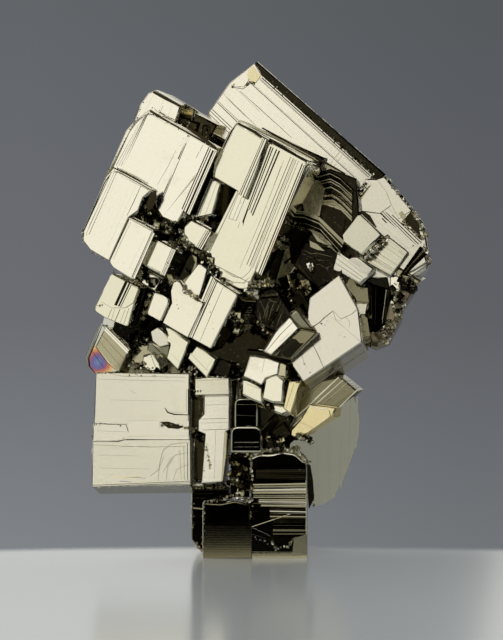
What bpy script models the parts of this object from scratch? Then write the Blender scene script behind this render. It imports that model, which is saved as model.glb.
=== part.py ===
# Pyrite crystal cluster: one natural piece of intergrown striated cubes and blocks.
# Metres, +Z up. The origin is on the resting plane, in the middle of the foot.
# The side seen first faces -Y. Crystals are placed in mm, measured across from the
# specimen's middle line, away from the front of the foot, and up from the resting plane.
import math
import random

import bmesh
import bpy
from mathutils import Matrix, Vector

MM = 0.001

# Middle of the foot's resting face, in mm: it becomes the origin.
FOOT_MIDDLE = (1.35, 11.9, 0.0)
# Small flat left by growth along every front edge, in mm.
EDGE_FLAT = 0.18
# Growth steps reach this far into the crystal they stand on, in mm.
STEP_ROOT = 1.0
# Corners of a broken lump move in and out by these factors.
LUMP_SWELL = (0.82, 1.12)
# The sharpest corner, as a sine, whose edge flat is still measured square to its sides.
SHARPEST_CORNER = 0.3
# Points of the fused skin closer than this are one point, in metres.
SAME_POINT = 0.0000005
# Side of the block that cuts the base flat, in metres: wider than the specimen.
BASE_CUTTER = 0.2

# How each family of parallel crystals is turned, in degrees: rolled clockwise as seen
# from the front, yawed to the left, leaned back.
UPPER_TURN = (28.0, 13.0, -6.0)
PLATE_TURN = (42.0, 6.0, -3.0)
RIGHT_TURN = (41.0, 6.0, 2.0)
TILTED_TURN = (-31.0, 0.0, 18.0)
HEART_TURN = (14.0, 6.0, 3.0)
LENS_TURN = (-38.0, 0.0, -38.0)
BLOCK_TURN = (0.0, 4.0, 11.0)
COLUMN_TURN = (-1.0, 4.0, 8.0)
FOOT_TURN = (0.0, 3.0, 3.0)
SMALL_TURN = (30.0, 9.0, 0.0)


def turn_matrix(turn):
    """Rotation for a turn given as roll, yaw and lean in degrees."""
    roll, yaw, lean = (math.radians(angle) for angle in turn)
    lean_back = Matrix.Rotation(-lean, 3, "X")
    yaw_left = Matrix.Rotation(-yaw, 3, "Z")
    roll_clockwise = Matrix.Rotation(roll, 3, "Y")
    return roll_clockwise @ yaw_left @ lean_back


def adjusted(turn, roll=0.0, yaw=0.0, lean=0.0):
    """A family's turn with a crystal's own small misfit added."""
    return (turn[0] + roll, turn[1] + yaw, turn[2] + lean)


def from_behind(turn):
    """The same family seen on its rear faces."""
    return (turn[0], turn[1] + 180.0, -turn[2])


def clear_scene():
    """Remove everything the file opened with."""
    for thing in list(bpy.data.objects):
        bpy.data.objects.remove(thing, do_unlink=True)


class Crystal:
    """One flat-faced crystal: a closed outline on its front plane, grown backwards."""

    def __init__(self, at, turn, size=None, outline=None, depth=8.0, flat=EDGE_FLAT, top_flat=None):
        self.at = Vector(at)
        self.turn = turn_matrix(turn)
        if outline is None:
            half_width, half_height = size[0] / 2, size[1] / 2
            outline = [
                (-half_width, half_height),
                (half_width, half_height),
                (half_width, -half_height),
                (-half_width, -half_height),
            ]
        self.outline = outline
        self.depth = depth
        self.flat = flat
        self.top_flat = flat if top_flat is None else top_flat

    def point(self, across, up, away):
        """A place in the specimen, in mm, from a place in the crystal's own axes."""
        return self.at + self.turn @ Vector((across, away, up))

    def ledge(self, at, size=None, outline=None, rise=0.4):
        """A growth step: a thin plate standing proud of this crystal's front."""
        step = Crystal((0, 0, 0), (0, 0, 0), size=size, outline=outline, depth=rise + STEP_ROOT, flat=0.1)
        step.at = self.point(at[0], at[1], -rise)
        step.turn = self.turn
        return step

    def ribs(self, first, size, count, pitch, rise=0.25):
        """Parallel growth ribs: thin ledges set one pitch apart, starting at the first."""
        return [
            self.ledge(at=(first[0] + pitch[0] * rib, first[1] + pitch[1] * rib), size=size, rise=rise)
            for rib in range(count)
        ]

    def rings(self):
        """The front, shoulder and back rings of points, front first."""
        count = len(self.outline)
        front = []
        for index, corner in enumerate(self.outline):
            before = Vector(self.outline[index - 1])
            here = Vector(corner)
            after = Vector(self.outline[(index + 1) % count])
            to_before = (before - here).normalized()
            to_after = (after - here).normalized()
            bisector = to_before + to_after
            bisector.normalize()
            reach = self.flat / max(SHARPEST_CORNER, abs(to_after.cross(bisector)))
            moved = here + bisector * reach
            if index < 2:
                moved.y = here.y - self.top_flat
            front.append(self.point(moved.x, moved.y, 0.0))
        shoulder = [self.point(across, up, self.top_flat) for across, up in self.outline]
        back = [self.point(across, up, self.depth) for across, up in self.outline]
        return front, shoulder, back

    def add_to(self, mesh):
        """Add this crystal to a bmesh as one closed body."""
        rings = [[mesh.verts.new(place * MM) for place in ring] for ring in self.rings()]
        count = len(self.outline)
        faces = [mesh.faces.new(rings[0])]
        for near, far in zip(rings, rings[1:]):
            for index in range(count):
                after = (index + 1) % count
                faces.append(mesh.faces.new((near[index], far[index], far[after], near[after])))
        faces.append(mesh.faces.new(list(reversed(rings[-1]))))
        return faces


class Lump:
    """A small broken or granular piece of crystal: a rough many-sided knob."""

    def __init__(self, at, size, seed):
        self.at = Vector(at)
        self.size = size
        self.seed = seed

    def add_to(self, mesh):
        """Add this lump to a bmesh as one closed body."""
        chance = random.Random(self.seed)
        spin = Matrix.Rotation(chance.uniform(0.0, math.pi), 4, Vector((1.0, 0.6, 0.3)).normalized())
        made = bmesh.ops.create_icosphere(mesh, subdivisions=1, radius=0.5, matrix=spin)
        faces = set()
        for vert in made["verts"]:
            swell = chance.uniform(*LUMP_SWELL)
            spread = Vector((vert.co.x * self.size[0], vert.co.y * self.size[1], vert.co.z * self.size[2]))
            vert.co = (self.at + spread * swell) * MM
            faces.update(vert.link_faces)
        return list(faces)


def crumbs(start, end, count, size, seed):
    """A line of small lumps, as along a broken edge."""
    chance = random.Random(seed)
    start, end = Vector(start), Vector(end)
    made = []
    for crumb in range(count):
        place = start.lerp(end, (crumb + 0.5) / count)
        place += Vector([chance.uniform(-0.25, 0.25) * size for _ in range(3)])
        extent = [size * chance.uniform(0.8, 1.4) for _ in range(3)]
        made.append(Lump(place, extent, seed * 100 + crumb))
    return made


def upper_left_cubes():
    """Bright cubes of the upper left, all nearly parallel, stepping down to the lower left."""
    cap = Crystal((-19.2, 2.0, 89.0), adjusted(UPPER_TURN, yaw=5), size=(8.1, 7.4), depth=13, top_flat=0.6)
    big_cube = Crystal((-18.0, -3.0, 78.8), UPPER_TURN, size=(17.8, 16.0), depth=24, top_flat=0.6)
    left_cube = Crystal((-26.9, -3.5, 68.5), adjusted(UPPER_TURN, roll=-2), size=(9.8, 15.3), depth=18)
    left_step = Crystal((-23.8, -4.3, 62.1), UPPER_TURN, size=(6.0, 10.6), depth=16)
    narrow_step = Crystal((-8.3, -2.6, 72.1), UPPER_TURN, size=(3.0, 6.8), depth=12)
    outer_band = Crystal(
        (-24.3, -1.2, 82.9),
        UPPER_TURN,
        outline=[(0.6, 7.9), (3.0, 7.7), (2.5, -9.2), (-1.6, -8.6), (-1.6, -4.6), (-1.9, 1.9), (-1.1, 4.8)],
        depth=16,
        flat=0.1,
    )
    return [
        cap,
        outer_band,
        big_cube,
        big_cube.ledge(at=(-5.6, 1.2), size=(4.4, 13.0), rise=0.35),
        big_cube.ledge(at=(0.6, 1.6), size=(4.6, 12.2), rise=0.3),
        left_cube,
        left_cube.ledge(at=(-1.2, 0.6), size=(5.8, 12.6), rise=0.3),
        left_step,
        narrow_step,
    ]


def middle_cubes():
    """Small bright cubes between the upper left and the block below."""
    lower_left = Crystal((-26.6, -2.0, 51.7), adjusted(UPPER_TURN, roll=-3), size=(7.1, 8.4), depth=15)
    tall = Crystal((-7.8, -4.0, 48.7), UPPER_TURN, size=(6.1, 12.5), depth=18, top_flat=0.4)
    return [
        Crystal((-11.2, -3.0, 64.8), UPPER_TURN, size=(3.7, 4.2), depth=12),
        Crystal((-18.9, -3.5, 60.3), UPPER_TURN, size=(3.9, 5.7), depth=12),
        Crystal((-20.0, -1.0, 55.5), UPPER_TURN, size=(3.2, 2.5), depth=10),
        lower_left,
        lower_left.ledge(at=(0.3, 0.9), size=(5.6, 6.4), rise=0.5),
        Crystal((-18.8, -2.0, 50.3), adjusted(UPPER_TURN, roll=-5), size=(4.0, 4.8), depth=12),
        Crystal((-13.8, -3.0, 48.6), UPPER_TURN, size=(6.5, 7.0), depth=16),
        Crystal((-10.8, -1.8, 55.6), UPPER_TURN, size=(3.5, 6.2), depth=12),
        tall,
        tall.ledge(at=(-1.7, 0.2), size=(1.8, 11.6), rise=0.35),
    ]


def long_front_cube():
    """The tallest bright crystal, at the centre, with its deeper tip and the one behind it."""
    main = Crystal((1.0, -4.0, 69.3), adjusted(UPPER_TURN, roll=-1), size=(10.4, 27.1), depth=9, top_flat=0.5)
    return main.ribs(first=(2.5, -0.6), size=(0.45, 24.6), count=3, pitch=(0.85, 0.3)) + [
        main,
        main.ledge(at=(-1.9, -5.9), size=(5.6, 14.2), rise=0.3),
        main.ledge(at=(1.2, 5.6), size=(1.2, 14.0), rise=0.25),
        Crystal((-1.9, -4.9, 79.3), adjusted(UPPER_TURN, roll=2), size=(9.0, 12.4), depth=12, top_flat=0.6),
        Crystal((0.5, -3.2, 68.4), UPPER_TURN, size=(11.4, 28.8), depth=14),
        Crystal((3.4, 0.6, 80.8), UPPER_TURN, size=(17.6, 6.8), depth=14, top_flat=0.4),
    ]


def tilted_plate():
    """The long striated plate whose broken tip is the highest point."""
    sheet = Crystal(
        (7.2, 9.0, 86.3),
        PLATE_TURN,
        outline=[
            (-14.0, 6.4),
            (21.2, 6.6),
            (20.2, 1.5),
            (8.7, -4.4),
            (-9.0, -10.4),
            (-14.4, -8.2),
            (-15.2, -0.6),
        ],
        depth=11,
        top_flat=2.2,
    )
    broken_tip = crumbs((-2.8, 9.0, 94.2), (1.0, 9.0, 97.2), count=6, size=1.7, seed=3)
    return sheet.ribs(first=(3.2, 3.6), size=(29.0, 0.5), count=3, pitch=(0.6, -0.95)) + [
        sheet,
        sheet.ledge(at=(-6.6, -3.4), size=(12.0, 6.4), rise=0.3),
    ] + broken_tip


def right_cluster():
    """Banded cubes at the right, ending in a broken granular rim."""
    body = Crystal(
        (28.2, 5.0, 63.5),
        RIGHT_TURN,
        outline=[
            (-12.3, 6.4),
            (-9.3, 8.6),
            (2.0, 7.0),
            (5.0, 5.2),
            (8.1, 2.5),
            (8.6, 0.8),
            (6.6, -7.4),
            (0.5, -13.0),
            (-5.2, -12.2),
            (-11.0, -2.5),
        ],
        depth=15,
    )
    broken_rim = Crystal(
        (28.0, 4.4, 49.4),
        (0.0, 4.0, 4.0),
        outline=[
            (-0.1, 5.1),
            (4.0, 7.1),
            (5.0, 4.7),
            (2.6, 1.1),
            (2.1, -1.4),
            (-0.5, -6.2),
            (-3.3, -7.2),
            (-5.3, -5.4),
            (-4.5, 2.3),
        ],
        depth=13,
    )
    granular_rim = crumbs((30.4, 3.9, 53.0), (28.8, 4.2, 47.0), count=6, size=1.9, seed=11)
    granular_rim += crumbs((28.0, 4.2, 45.8), (23.8, 4.1, 43.4), count=6, size=1.9, seed=12)
    granular_rim += crumbs((33.4, 4.8, 65.2), (29.6, 5.2, 69.2), count=5, size=1.5, seed=14)
    return [
        body,
        Crystal((22.0, 0.0, 64.6), RIGHT_TURN, size=(5.8, 5.5), depth=12, top_flat=0.5),
        Crystal((28.2, 2.0, 60.5), RIGHT_TURN, size=(4.8, 6.7), depth=12),
        Crystal((20.1, -1.0, 58.0), adjusted(RIGHT_TURN, roll=-12), size=(7.0, 5.0), depth=14),
        Crystal((18.8, 2.2, 62.8), adjusted(RIGHT_TURN, roll=-4), size=(6.4, 8.6), depth=12),
        Crystal((32.4, 3.0, 58.8), RIGHT_TURN, size=(2.9, 4.8), depth=10),
        Crystal((28.4, 4.2, 67.4), RIGHT_TURN, size=(9.6, 3.0), depth=12),
        Crystal((25.6, 3.2, 49.6), (2.0, -14.0, 0.0), size=(4.4, 9.6), depth=14),
        Crystal((22.8, 2.0, 51.6), (4.0, -8.0, 6.0), size=(3.6, 8.6), depth=12),
        broken_rim,
    ] + granular_rim


def deep_recess():
    """Stepped dark crystals that close the hollow right of the centre."""
    steps = []
    for step in range(5):
        steps.append(
            Crystal(
                (12.6 + 0.5 * step, 13.0 - 1.3 * step, 68.6 - 2.3 * step),
                (22.0 + 3.0 * step, -12.0, 16.0),
                size=(13.5 - 1.2 * step, 3.2),
                depth=8,
            )
        )
    return steps + [
        Crystal((12.6, 10.5, 74.0), adjusted(UPPER_TURN, roll=-6), size=(6.6, 9.4), depth=10),
        Crystal((8.0, 8.0, 60.9), (6.0, 10.0, 0.0), size=(4.6, 9.0), depth=10),
        Crystal((4.6, 5.5, 57.5), (20.0, 22.0, 0.0), size=(5.0, 9.0), depth=10),
        Crystal((11.6, 5.0, 55.0), (-30.0, -20.0, 20.0), size=(5.6, 5.6), depth=10),
        Crystal((3.8, 2.0, 50.4), (24.0, -16.0, -10.0), size=(6.4, 7.6), depth=12),
        Crystal((9.6, 1.0, 50.8), (-28.0, 20.0, 4.0), size=(3.2, 5.4), depth=12),
        Crystal((-0.6, 3.4, 48.0), (28.0, -20.0, 0.0), size=(5.6, 9.0), depth=10),
    ]


def tilted_block():
    """The bright block that leans back to the upper left, with the sliver in front of it."""
    block = Crystal(
        (14.2, -4.0, 46.2),
        TILTED_TURN,
        outline=[(0.8, 6.9), (8.3, 7.8), (7.9, -0.4), (5.1, -6.8), (-9.0, -7.6), (-9.3, -2.6), (-3.7, 2.8)],
        depth=12,
    )
    sliver = Crystal(
        (5.4, -6.0, 44.4),
        (-45.0, 5.0, 10.0),
        outline=[(-0.1, 1.3), (4.4, 1.6), (4.0, -1.7), (-3.7, -1.5), (-4.5, 0.3)],
        depth=9,
    )
    return [
        block,
        block.ledge(at=(4.6, 3.6), size=(5.8, 6.4), rise=0.4),
        sliver,
    ]


def heart_cubes():
    """Small cream cubes at the centre, above the dark foot."""
    return [
        Crystal((2.0, -5.0, 38.2), HEART_TURN, size=(6.4, 4.6), depth=13),
        Crystal((0.4, -4.4, 34.2), HEART_TURN, size=(5.4, 5.6), depth=12),
        Crystal((4.3, -6.0, 34.0), adjusted(HEART_TURN, roll=-3), size=(4.0, 5.0), depth=12),
        Crystal((8.0, -5.0, 32.6), adjusted(HEART_TURN, roll=4), size=(2.3, 6.8), depth=12),
        Crystal((5.9, -4.4, 30.1), HEART_TURN, size=(2.8, 2.0), depth=10),
        Crystal((9.2, -2.6, 36.6), adjusted(HEART_TURN, yaw=-16), size=(6.0, 4.0), depth=12),
    ]


def shell_broken_cube():
    """The big cube at the lower right, seen on its edge, with a curved break below."""
    return [
        Crystal(
            (15.2, 6.0, 18.6),
            LENS_TURN,
            outline=[
                (-3.3, 10.1),
                (14.1, 10.0),
                (11.6, 4.4),
                (8.4, 0.2),
                (4.6, -3.2),
                (0.3, -6.6),
                (-4.2, -8.7),
                (-7.6, -7.5),
                (-9.6, -3.6),
                (-8.1, 4.7),
            ],
            depth=13,
        ),
    ]


def lower_block():
    """The wide cream block at the lower left, in forward-stepping tiers, and its column."""
    upper_tier = Crystal((-21.8, -3.0, 31.6), BLOCK_TURN, size=(18.9, 11.4), depth=12, top_flat=0.3)
    return [
        upper_tier,
        Crystal((-21.9, -4.3, 25.0), BLOCK_TURN, size=(19.4, 4.4), depth=12, top_flat=0.5),
        Crystal((-21.7, -6.2, 19.4), BLOCK_TURN, size=(19.8, 9.2), depth=12, top_flat=0.8),
        Crystal((-7.8, -2.2, 25.7), COLUMN_TURN, size=(5.2, 21.3), depth=12),
        Crystal((-7.6, -2.7, 34.4), COLUMN_TURN, size=(6.2, 3.4), depth=10),
        Crystal((-10.6, 1.4, 26.0), COLUMN_TURN, size=(8.0, 21.0), depth=12),
        upper_tier.ledge(at=(7.2, -0.7), size=(4.4, 5.0), rise=0.4),
    ]


def small_left_crystals():
    """The little crystals squeezed between the middle cubes and the lower block."""
    wedge = Crystal(
        (-27.9, -1.0, 41.8),
        (40.0, -8.0, 0.0),
        outline=[(-3.9, 2.6), (2.6, 2.2), (4.1, -2.6), (-2.7, -1.9)],
        depth=12,
        top_flat=0.5,
    )
    tarnished = Crystal(
        (-29.6, 1.0, 40.7),
        (30.0, 16.0, 0.0),
        outline=[(-3.8, 5.2), (3.3, 3.8), (3.5, -2.6), (-0.4, -4.1), (-2.7, -2.4)],
        depth=12,
    )
    return [
        wedge,
        tarnished,
        Crystal((-23.6, 3.4, 44.4), (12.0, -14.0, -8.0), size=(9.0, 9.0), depth=12),
        Crystal((-15.0, 5.0, 44.0), (20.0, 10.0, -8.0), size=(14.0, 12.0), depth=12),
        Crystal((-20.0, 4.0, 38.6), (4.0, 4.0, 6.0), size=(12.0, 5.0), depth=10),
        Crystal((-15.9, -2.0, 42.3), SMALL_TURN, size=(5.4, 5.8), depth=12),
        Crystal((-18.4, 0.0, 43.2), adjusted(SMALL_TURN, roll=-14), size=(4.2, 4.8), depth=10),
        Crystal((-10.0, -2.2, 39.7), adjusted(SMALL_TURN, roll=6), size=(5.0, 3.8), depth=12),
        Crystal((-6.0, -0.4, 38.1), adjusted(SMALL_TURN, roll=-14), size=(3.8, 3.4), depth=10),
        Crystal((-21.4, 1.0, 40.6), (10.0, 12.0, 6.0), size=(5.0, 4.4), depth=10),
    ]


def foot_blocks():
    """The dark upright blocks that carry the specimen, and the small ones above them."""
    right_block = Crystal((5.4, 0.0, 9.0), FOOT_TURN, size=(11.4, 22.0), depth=25)
    broken_tops = crumbs((0.6, 0.3, 20.2), (6.6, 0.3, 20.8), count=5, size=1.5, seed=21)
    broken_tops += crumbs((7.2, 0.2, 20.4), (10.6, 0.2, 18.6), count=4, size=1.5, seed=22)
    broken_tops += crumbs((-8.6, 0.2, 10.6), (-1.2, 0.0, 11.8), count=8, size=1.6, seed=23)
    broken_tops += crumbs((-0.5, -0.1, 10.2), (0.0, -0.3, 2.4), count=7, size=1.1, seed=24)
    return right_block.ribs(first=(0.2, 5.6), size=(10.6, 0.5), count=6, pitch=(0.0, -1.15)) + broken_tops + [
        right_block,
        Crystal((-5.0, -0.5, 4.6), FOOT_TURN, size=(9.4, 12.6), depth=24),
        Crystal((-6.9, 3.4, 8.6), FOOT_TURN, size=(10.4, 11.0), depth=22),
        Crystal((-1.6, 3.0, 19.0), FOOT_TURN, size=(5.0, 14.0), depth=16),
        Crystal((-1.0, 0.0, 28.8), FOOT_TURN, size=(4.6, 6.2), depth=12),
        Crystal((-1.0, -1.0, 23.5), FOOT_TURN, size=(6.2, 5.0), depth=14),
        Crystal((3.6, 1.0, 26.4), (30.0, 10.0, -10.0), size=(7.0, 8.0), depth=12),
    ]


def hidden_back():
    """Larger crystals that fill the back and overlap everything in front of them."""
    return [
        Crystal((-12.0, 4.5, 86.6), UPPER_TURN, size=(9.0, 5.4), depth=14),
        Crystal((-11.0, 8.0, 77.0), UPPER_TURN, size=(20.0, 18.0), depth=18),
        Crystal((2.0, 8.0, 72.0), adjusted(UPPER_TURN, roll=-3), size=(17.0, 26.0), depth=20),
        Crystal((-16.0, 8.0, 59.0), adjusted(UPPER_TURN, yaw=4), size=(18.0, 20.0), depth=15),
        Crystal((12.0, 14.0, 78.0), PLATE_TURN, size=(24.0, 11.0), depth=12),
        Crystal((18.0, 9.0, 60.0), RIGHT_TURN, size=(18.0, 17.0), depth=19),
        Crystal((2.0, 6.0, 48.0), (-12.0, -10.0, 5.0), size=(26.0, 22.0), depth=23),
        Crystal((-13.0, 6.0, 33.0), adjusted(BLOCK_TURN, yaw=8), size=(20.0, 19.0), depth=15),
        Crystal((5.0, 4.0, 30.0), (8.0, 5.0, 0.0), size=(15.0, 22.0), depth=20),
        Crystal((14.0, 9.0, 43.0), (25.0, -12.0, -8.0), size=(15.0, 14.0), depth=17),
    ]


def back_cubes():
    """Cubes that stand out of the back, each parallel to what it grew from."""
    upper = from_behind(UPPER_TURN)
    plate = from_behind(PLATE_TURN)
    right = from_behind(RIGHT_TURN)
    block = from_behind(adjusted(BLOCK_TURN, yaw=8))
    foot = from_behind(FOOT_TURN)
    centre = from_behind((-12.0, -10.0, 5.0))
    slab = Crystal((2.6, 30.2, 74.0), upper, size=(11.0, 15.0), depth=10)
    big = Crystal((-4.0, 31.4, 49.0), centre, size=(11.0, 12.0), depth=9)
    return slab.ribs(first=(-3.4, 0.0), size=(0.5, 13.0), count=4, pitch=(1.1, 0.2)) + [
        slab,
        big,
        big.ledge(at=(1.2, -1.4), size=(6.8, 7.4), rise=0.5),
        Crystal((-9.6, 29.0, 83.0), upper, size=(8.6, 8.0), depth=9),
        Crystal((-18.4, 27.2, 73.6), upper, size=(7.6, 10.4), depth=9),
        Crystal((-9.0, 28.6, 70.0), upper, size=(6.6, 7.2), depth=9),
        Crystal((-5.4, 30.4, 62.4), upper, size=(7.6, 6.2), depth=10),
        Crystal((-20.6, 25.6, 60.4), upper, size=(7.8, 9.0), depth=9),
        Crystal((-13.0, 26.6, 54.6), adjusted(upper, roll=-3), size=(6.2, 8.6), depth=9),
        Crystal((15.6, 28.0, 80.6), plate, size=(11.0, 6.4), depth=8),
        Crystal((10.6, 28.4, 70.8), plate, size=(6.4, 6.0), depth=9),
        Crystal((21.6, 30.2, 64.2), right, size=(8.4, 9.0), depth=9),
        Crystal((16.6, 31.0, 57.4), right, size=(6.0, 6.8), depth=9),
        Crystal((27.6, 26.6, 56.4), right, size=(5.8, 7.0), depth=9),
        Crystal((9.2, 32.6, 44.0), centre, size=(7.4, 9.4), depth=9),
        Crystal((13.2, 28.4, 38.0), (25.0, 168.0, 8.0), size=(7.0, 6.0), depth=9),
        Crystal((-18.4, 23.4, 30.0), block, size=(8.8, 9.6), depth=8),
        Crystal((-8.8, 26.0, 37.4), block, size=(7.4, 6.6), depth=9),
        Crystal((8.0, 27.0, 30.4), (8.0, 185.0, 0.0), size=(7.6, 8.8), depth=9),
        Crystal((1.0, 26.4, 22.0), (8.0, 185.0, 0.0), size=(6.0, 6.4), depth=9),
        Crystal((6.2, 26.6, 10.6), foot, size=(6.8, 8.2), depth=8),
    ]


def body_object(name, crystals):
    """One mesh object that holds the given crystals as separate closed bodies."""
    mesh = bmesh.new()
    for crystal in crystals:
        bmesh.ops.recalc_face_normals(mesh, faces=crystal.add_to(mesh))
    data = bpy.data.meshes.new(name)
    mesh.to_mesh(data)
    mesh.free()
    made = bpy.data.objects.new(name, data)
    bpy.context.collection.objects.link(made)
    return made


def fuse(first, others):
    """Replace the overlapping bodies of these objects with the single skin round them all."""
    for other in others:
        join = first.modifiers.new("Join " + other.name, "BOOLEAN")
        join.operation = "UNION"
        join.solver = "EXACT"
        join.use_self = True
        join.object = other
    settled = bpy.context.evaluated_depsgraph_get()
    skin = bpy.data.meshes.new_from_object(first.evaluated_get(settled))
    first.modifiers.clear()
    first.data = skin
    for other in others:
        bpy.data.objects.remove(other, do_unlink=True)


def cut_flat_base(specimen):
    """Cut everything below the resting plane off, which leaves the foot flat."""
    cutter_data = bpy.data.meshes.new("base_cutter")
    cutter_mesh = bmesh.new()
    below = Matrix.Translation((0.0, 0.0, -BASE_CUTTER / 2))
    bmesh.ops.create_cube(cutter_mesh, size=BASE_CUTTER, matrix=below)
    cutter_mesh.to_mesh(cutter_data)
    cutter_mesh.free()
    cutter = bpy.data.objects.new("base_cutter", cutter_data)
    cutter.hide_render = True
    cutter.display_type = "WIRE"
    bpy.context.collection.objects.link(cutter)
    cut = specimen.modifiers.new("Flat base", "BOOLEAN")
    cut.operation = "DIFFERENCE"
    cut.solver = "EXACT"
    cut.object = cutter
    settled = bpy.context.evaluated_depsgraph_get()
    flat = bpy.data.meshes.new_from_object(specimen.evaluated_get(settled))
    specimen.modifiers.clear()
    specimen.data = flat
    bpy.data.objects.remove(cutter, do_unlink=True)


def keep_outer_skin(specimen):
    """Drop the skins of pockets sealed inside, which no one could see or reach."""
    mesh = bmesh.new()
    mesh.from_mesh(specimen.data)
    bmesh.ops.remove_doubles(mesh, verts=mesh.verts, dist=SAME_POINT)
    waiting = set(mesh.faces)
    skins = []
    while waiting:
        skin = [waiting.pop()]
        for face in skin:
            for edge in face.edges:
                beside = waiting.intersection(edge.link_faces)
                waiting -= beside
                skin.extend(beside)
        skins.append(skin)
    skins.sort(key=len, reverse=True)
    for skin in skins[1:]:
        bmesh.ops.delete(mesh, geom=skin, context="FACES")
    bmesh.ops.triangulate(mesh, faces=mesh.faces)
    mesh.to_mesh(specimen.data)
    mesh.free()


def pyrite_material():
    """Pale brass-yellow metal with a mirror polish."""
    material = bpy.data.materials.new("pyrite")
    material.use_nodes = True
    shader = material.node_tree.nodes["Principled BSDF"]
    shader.inputs["Base Color"].default_value = (0.79, 0.74, 0.57, 1.0)
    shader.inputs["Metallic"].default_value = 1.0
    shader.inputs["Roughness"].default_value = 0.12
    return material


def build_specimen():
    """The whole cluster as one solid."""
    groups = [
        ("hidden_back", hidden_back()),
        ("back_cubes", back_cubes()),
        ("upper_left_cubes", upper_left_cubes()),
        ("middle_cubes", middle_cubes()),
        ("long_front_cube", long_front_cube()),
        ("tilted_plate", tilted_plate()),
        ("right_cluster", right_cluster()),
        ("deep_recess", deep_recess()),
        ("tilted_block", tilted_block()),
        ("heart_cubes", heart_cubes()),
        ("shell_broken_cube", shell_broken_cube()),
        ("lower_block", lower_block()),
        ("small_left_crystals", small_left_crystals()),
        ("foot_blocks", foot_blocks()),
    ]
    bodies = [body_object(name, crystals) for name, crystals in groups]
    specimen = bodies[0]
    fuse(specimen, bodies[1:])
    cut_flat_base(specimen)
    keep_outer_skin(specimen)
    specimen.data.transform(Matrix.Translation(-Vector(FOOT_MIDDLE) * MM))
    specimen.name = "pyrite_crystal_cluster"
    specimen.data.name = "pyrite_crystal_cluster"
    specimen.data.materials.clear()
    specimen.data.materials.append(pyrite_material())
    return specimen


clear_scene()
build_specimen()
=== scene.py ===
import math
import random

import bmesh
import bpy
from mathutils import Matrix, Vector


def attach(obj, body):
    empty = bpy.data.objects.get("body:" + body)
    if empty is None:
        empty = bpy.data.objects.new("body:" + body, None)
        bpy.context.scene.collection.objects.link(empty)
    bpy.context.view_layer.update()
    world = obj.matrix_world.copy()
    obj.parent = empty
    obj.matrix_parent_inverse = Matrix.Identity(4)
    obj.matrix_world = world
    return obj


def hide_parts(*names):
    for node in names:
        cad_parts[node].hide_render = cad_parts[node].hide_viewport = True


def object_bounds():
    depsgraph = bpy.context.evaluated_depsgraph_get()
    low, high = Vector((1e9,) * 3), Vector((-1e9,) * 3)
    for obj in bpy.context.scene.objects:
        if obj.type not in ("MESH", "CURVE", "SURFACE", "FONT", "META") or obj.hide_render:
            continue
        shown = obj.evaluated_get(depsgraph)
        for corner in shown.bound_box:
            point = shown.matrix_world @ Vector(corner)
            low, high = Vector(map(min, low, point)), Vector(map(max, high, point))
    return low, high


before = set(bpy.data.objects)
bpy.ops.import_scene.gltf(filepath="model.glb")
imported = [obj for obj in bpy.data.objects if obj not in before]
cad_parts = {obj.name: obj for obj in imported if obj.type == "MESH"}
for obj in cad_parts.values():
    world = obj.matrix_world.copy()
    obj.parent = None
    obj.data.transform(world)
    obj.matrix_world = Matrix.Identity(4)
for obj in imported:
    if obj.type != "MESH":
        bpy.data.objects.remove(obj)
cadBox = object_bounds()

mm = 0.001
footMiddle = Vector((1.35, 11.9, 0.0))  # the foot's middle in the specimen's own mm, as in the solid
rootDepth = 0.05  # how deep a growth layer is set into the face it lies on, mm
lineLift = 0.01  # how far a run of growth lines stands off its face, mm
strayReach = 0.14  # how far chips stray from their line, mm
seamHeight = 0.012  # height of the ridge along a seam, mm
clearance = 0.3  # nothing is built that stays lower than this above the table, mm

# how each family of parallel crystals is turned: roll, yaw and lean back, in degrees
upperTurn = (28.0, 13.0, -6.0)
plateTurn = (42.0, 6.0, -3.0)
rightTurn = (41.0, 6.0, 2.0)
tiltedTurn = (-31.0, 0.0, 18.0)
heartTurn = (14.0, 11.0, 5.0)
lensTurn = (-38.0, 0.0, -38.0)
blockTurn = (0.0, 4.0, 11.0)
columnTurn = (-1.0, 4.0, 8.0)
footTurn = (0.0, 1.0, 2.0)
smallTurn = (30.0, 9.0, 0.0)

# the way growth lines run on each pair of faces, for crystals lined up and down or across in front
lineWays = {
    "up": {"y": "z", "x": "y", "z": "x"},
    "across": {"y": "x", "x": "z", "z": "y"},
}
# finishes by slot: the second is near-black painted shade, the fifth a greenish tarnish that is partly painted
# shade
bright, paintedShade, broken, rainbow, oliveTarnishAndShade, golden = 0, 1, 2, 3, 4, 5
# how far each side of a growth layer leans for its rise: top, right, bottom, left
levelSlopes = (1.0, 1.0, 1.0, 1.0)
plateSlopes = (0.12, 0.4, 0.35, 0.12)
sharpSlopes = (0.1, 0.1, 0.1, 0.1)


def turnMatrix(turn):
    roll, yaw, lean = (math.radians(angle) for angle in turn)
    leanBack = Matrix.Rotation(-lean, 3, "X")
    yawLeft = Matrix.Rotation(-yaw, 3, "Z")
    return Matrix.Rotation(roll, 3, "Y") @ yawLeft @ leanBack


def adjusted(turn, roll=0.0, yaw=0.0, lean=0.0):
    return (turn[0] + roll, turn[1] + yaw, turn[2] + lean)


def fromBehind(turn):
    return (turn[0], turn[1] + 180.0, -turn[2])


def crystalFrame(at, turn):
    moved = Matrix.Translation((Vector(at) - footMiddle) * mm)
    return moved @ turnMatrix(turn).to_4x4() @ Matrix.Diagonal((mm, mm, mm, 1.0))


def boxOutline(left, right, low, high):
    return [(left, high), (right, high), (right, low), (left, low)]


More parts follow.
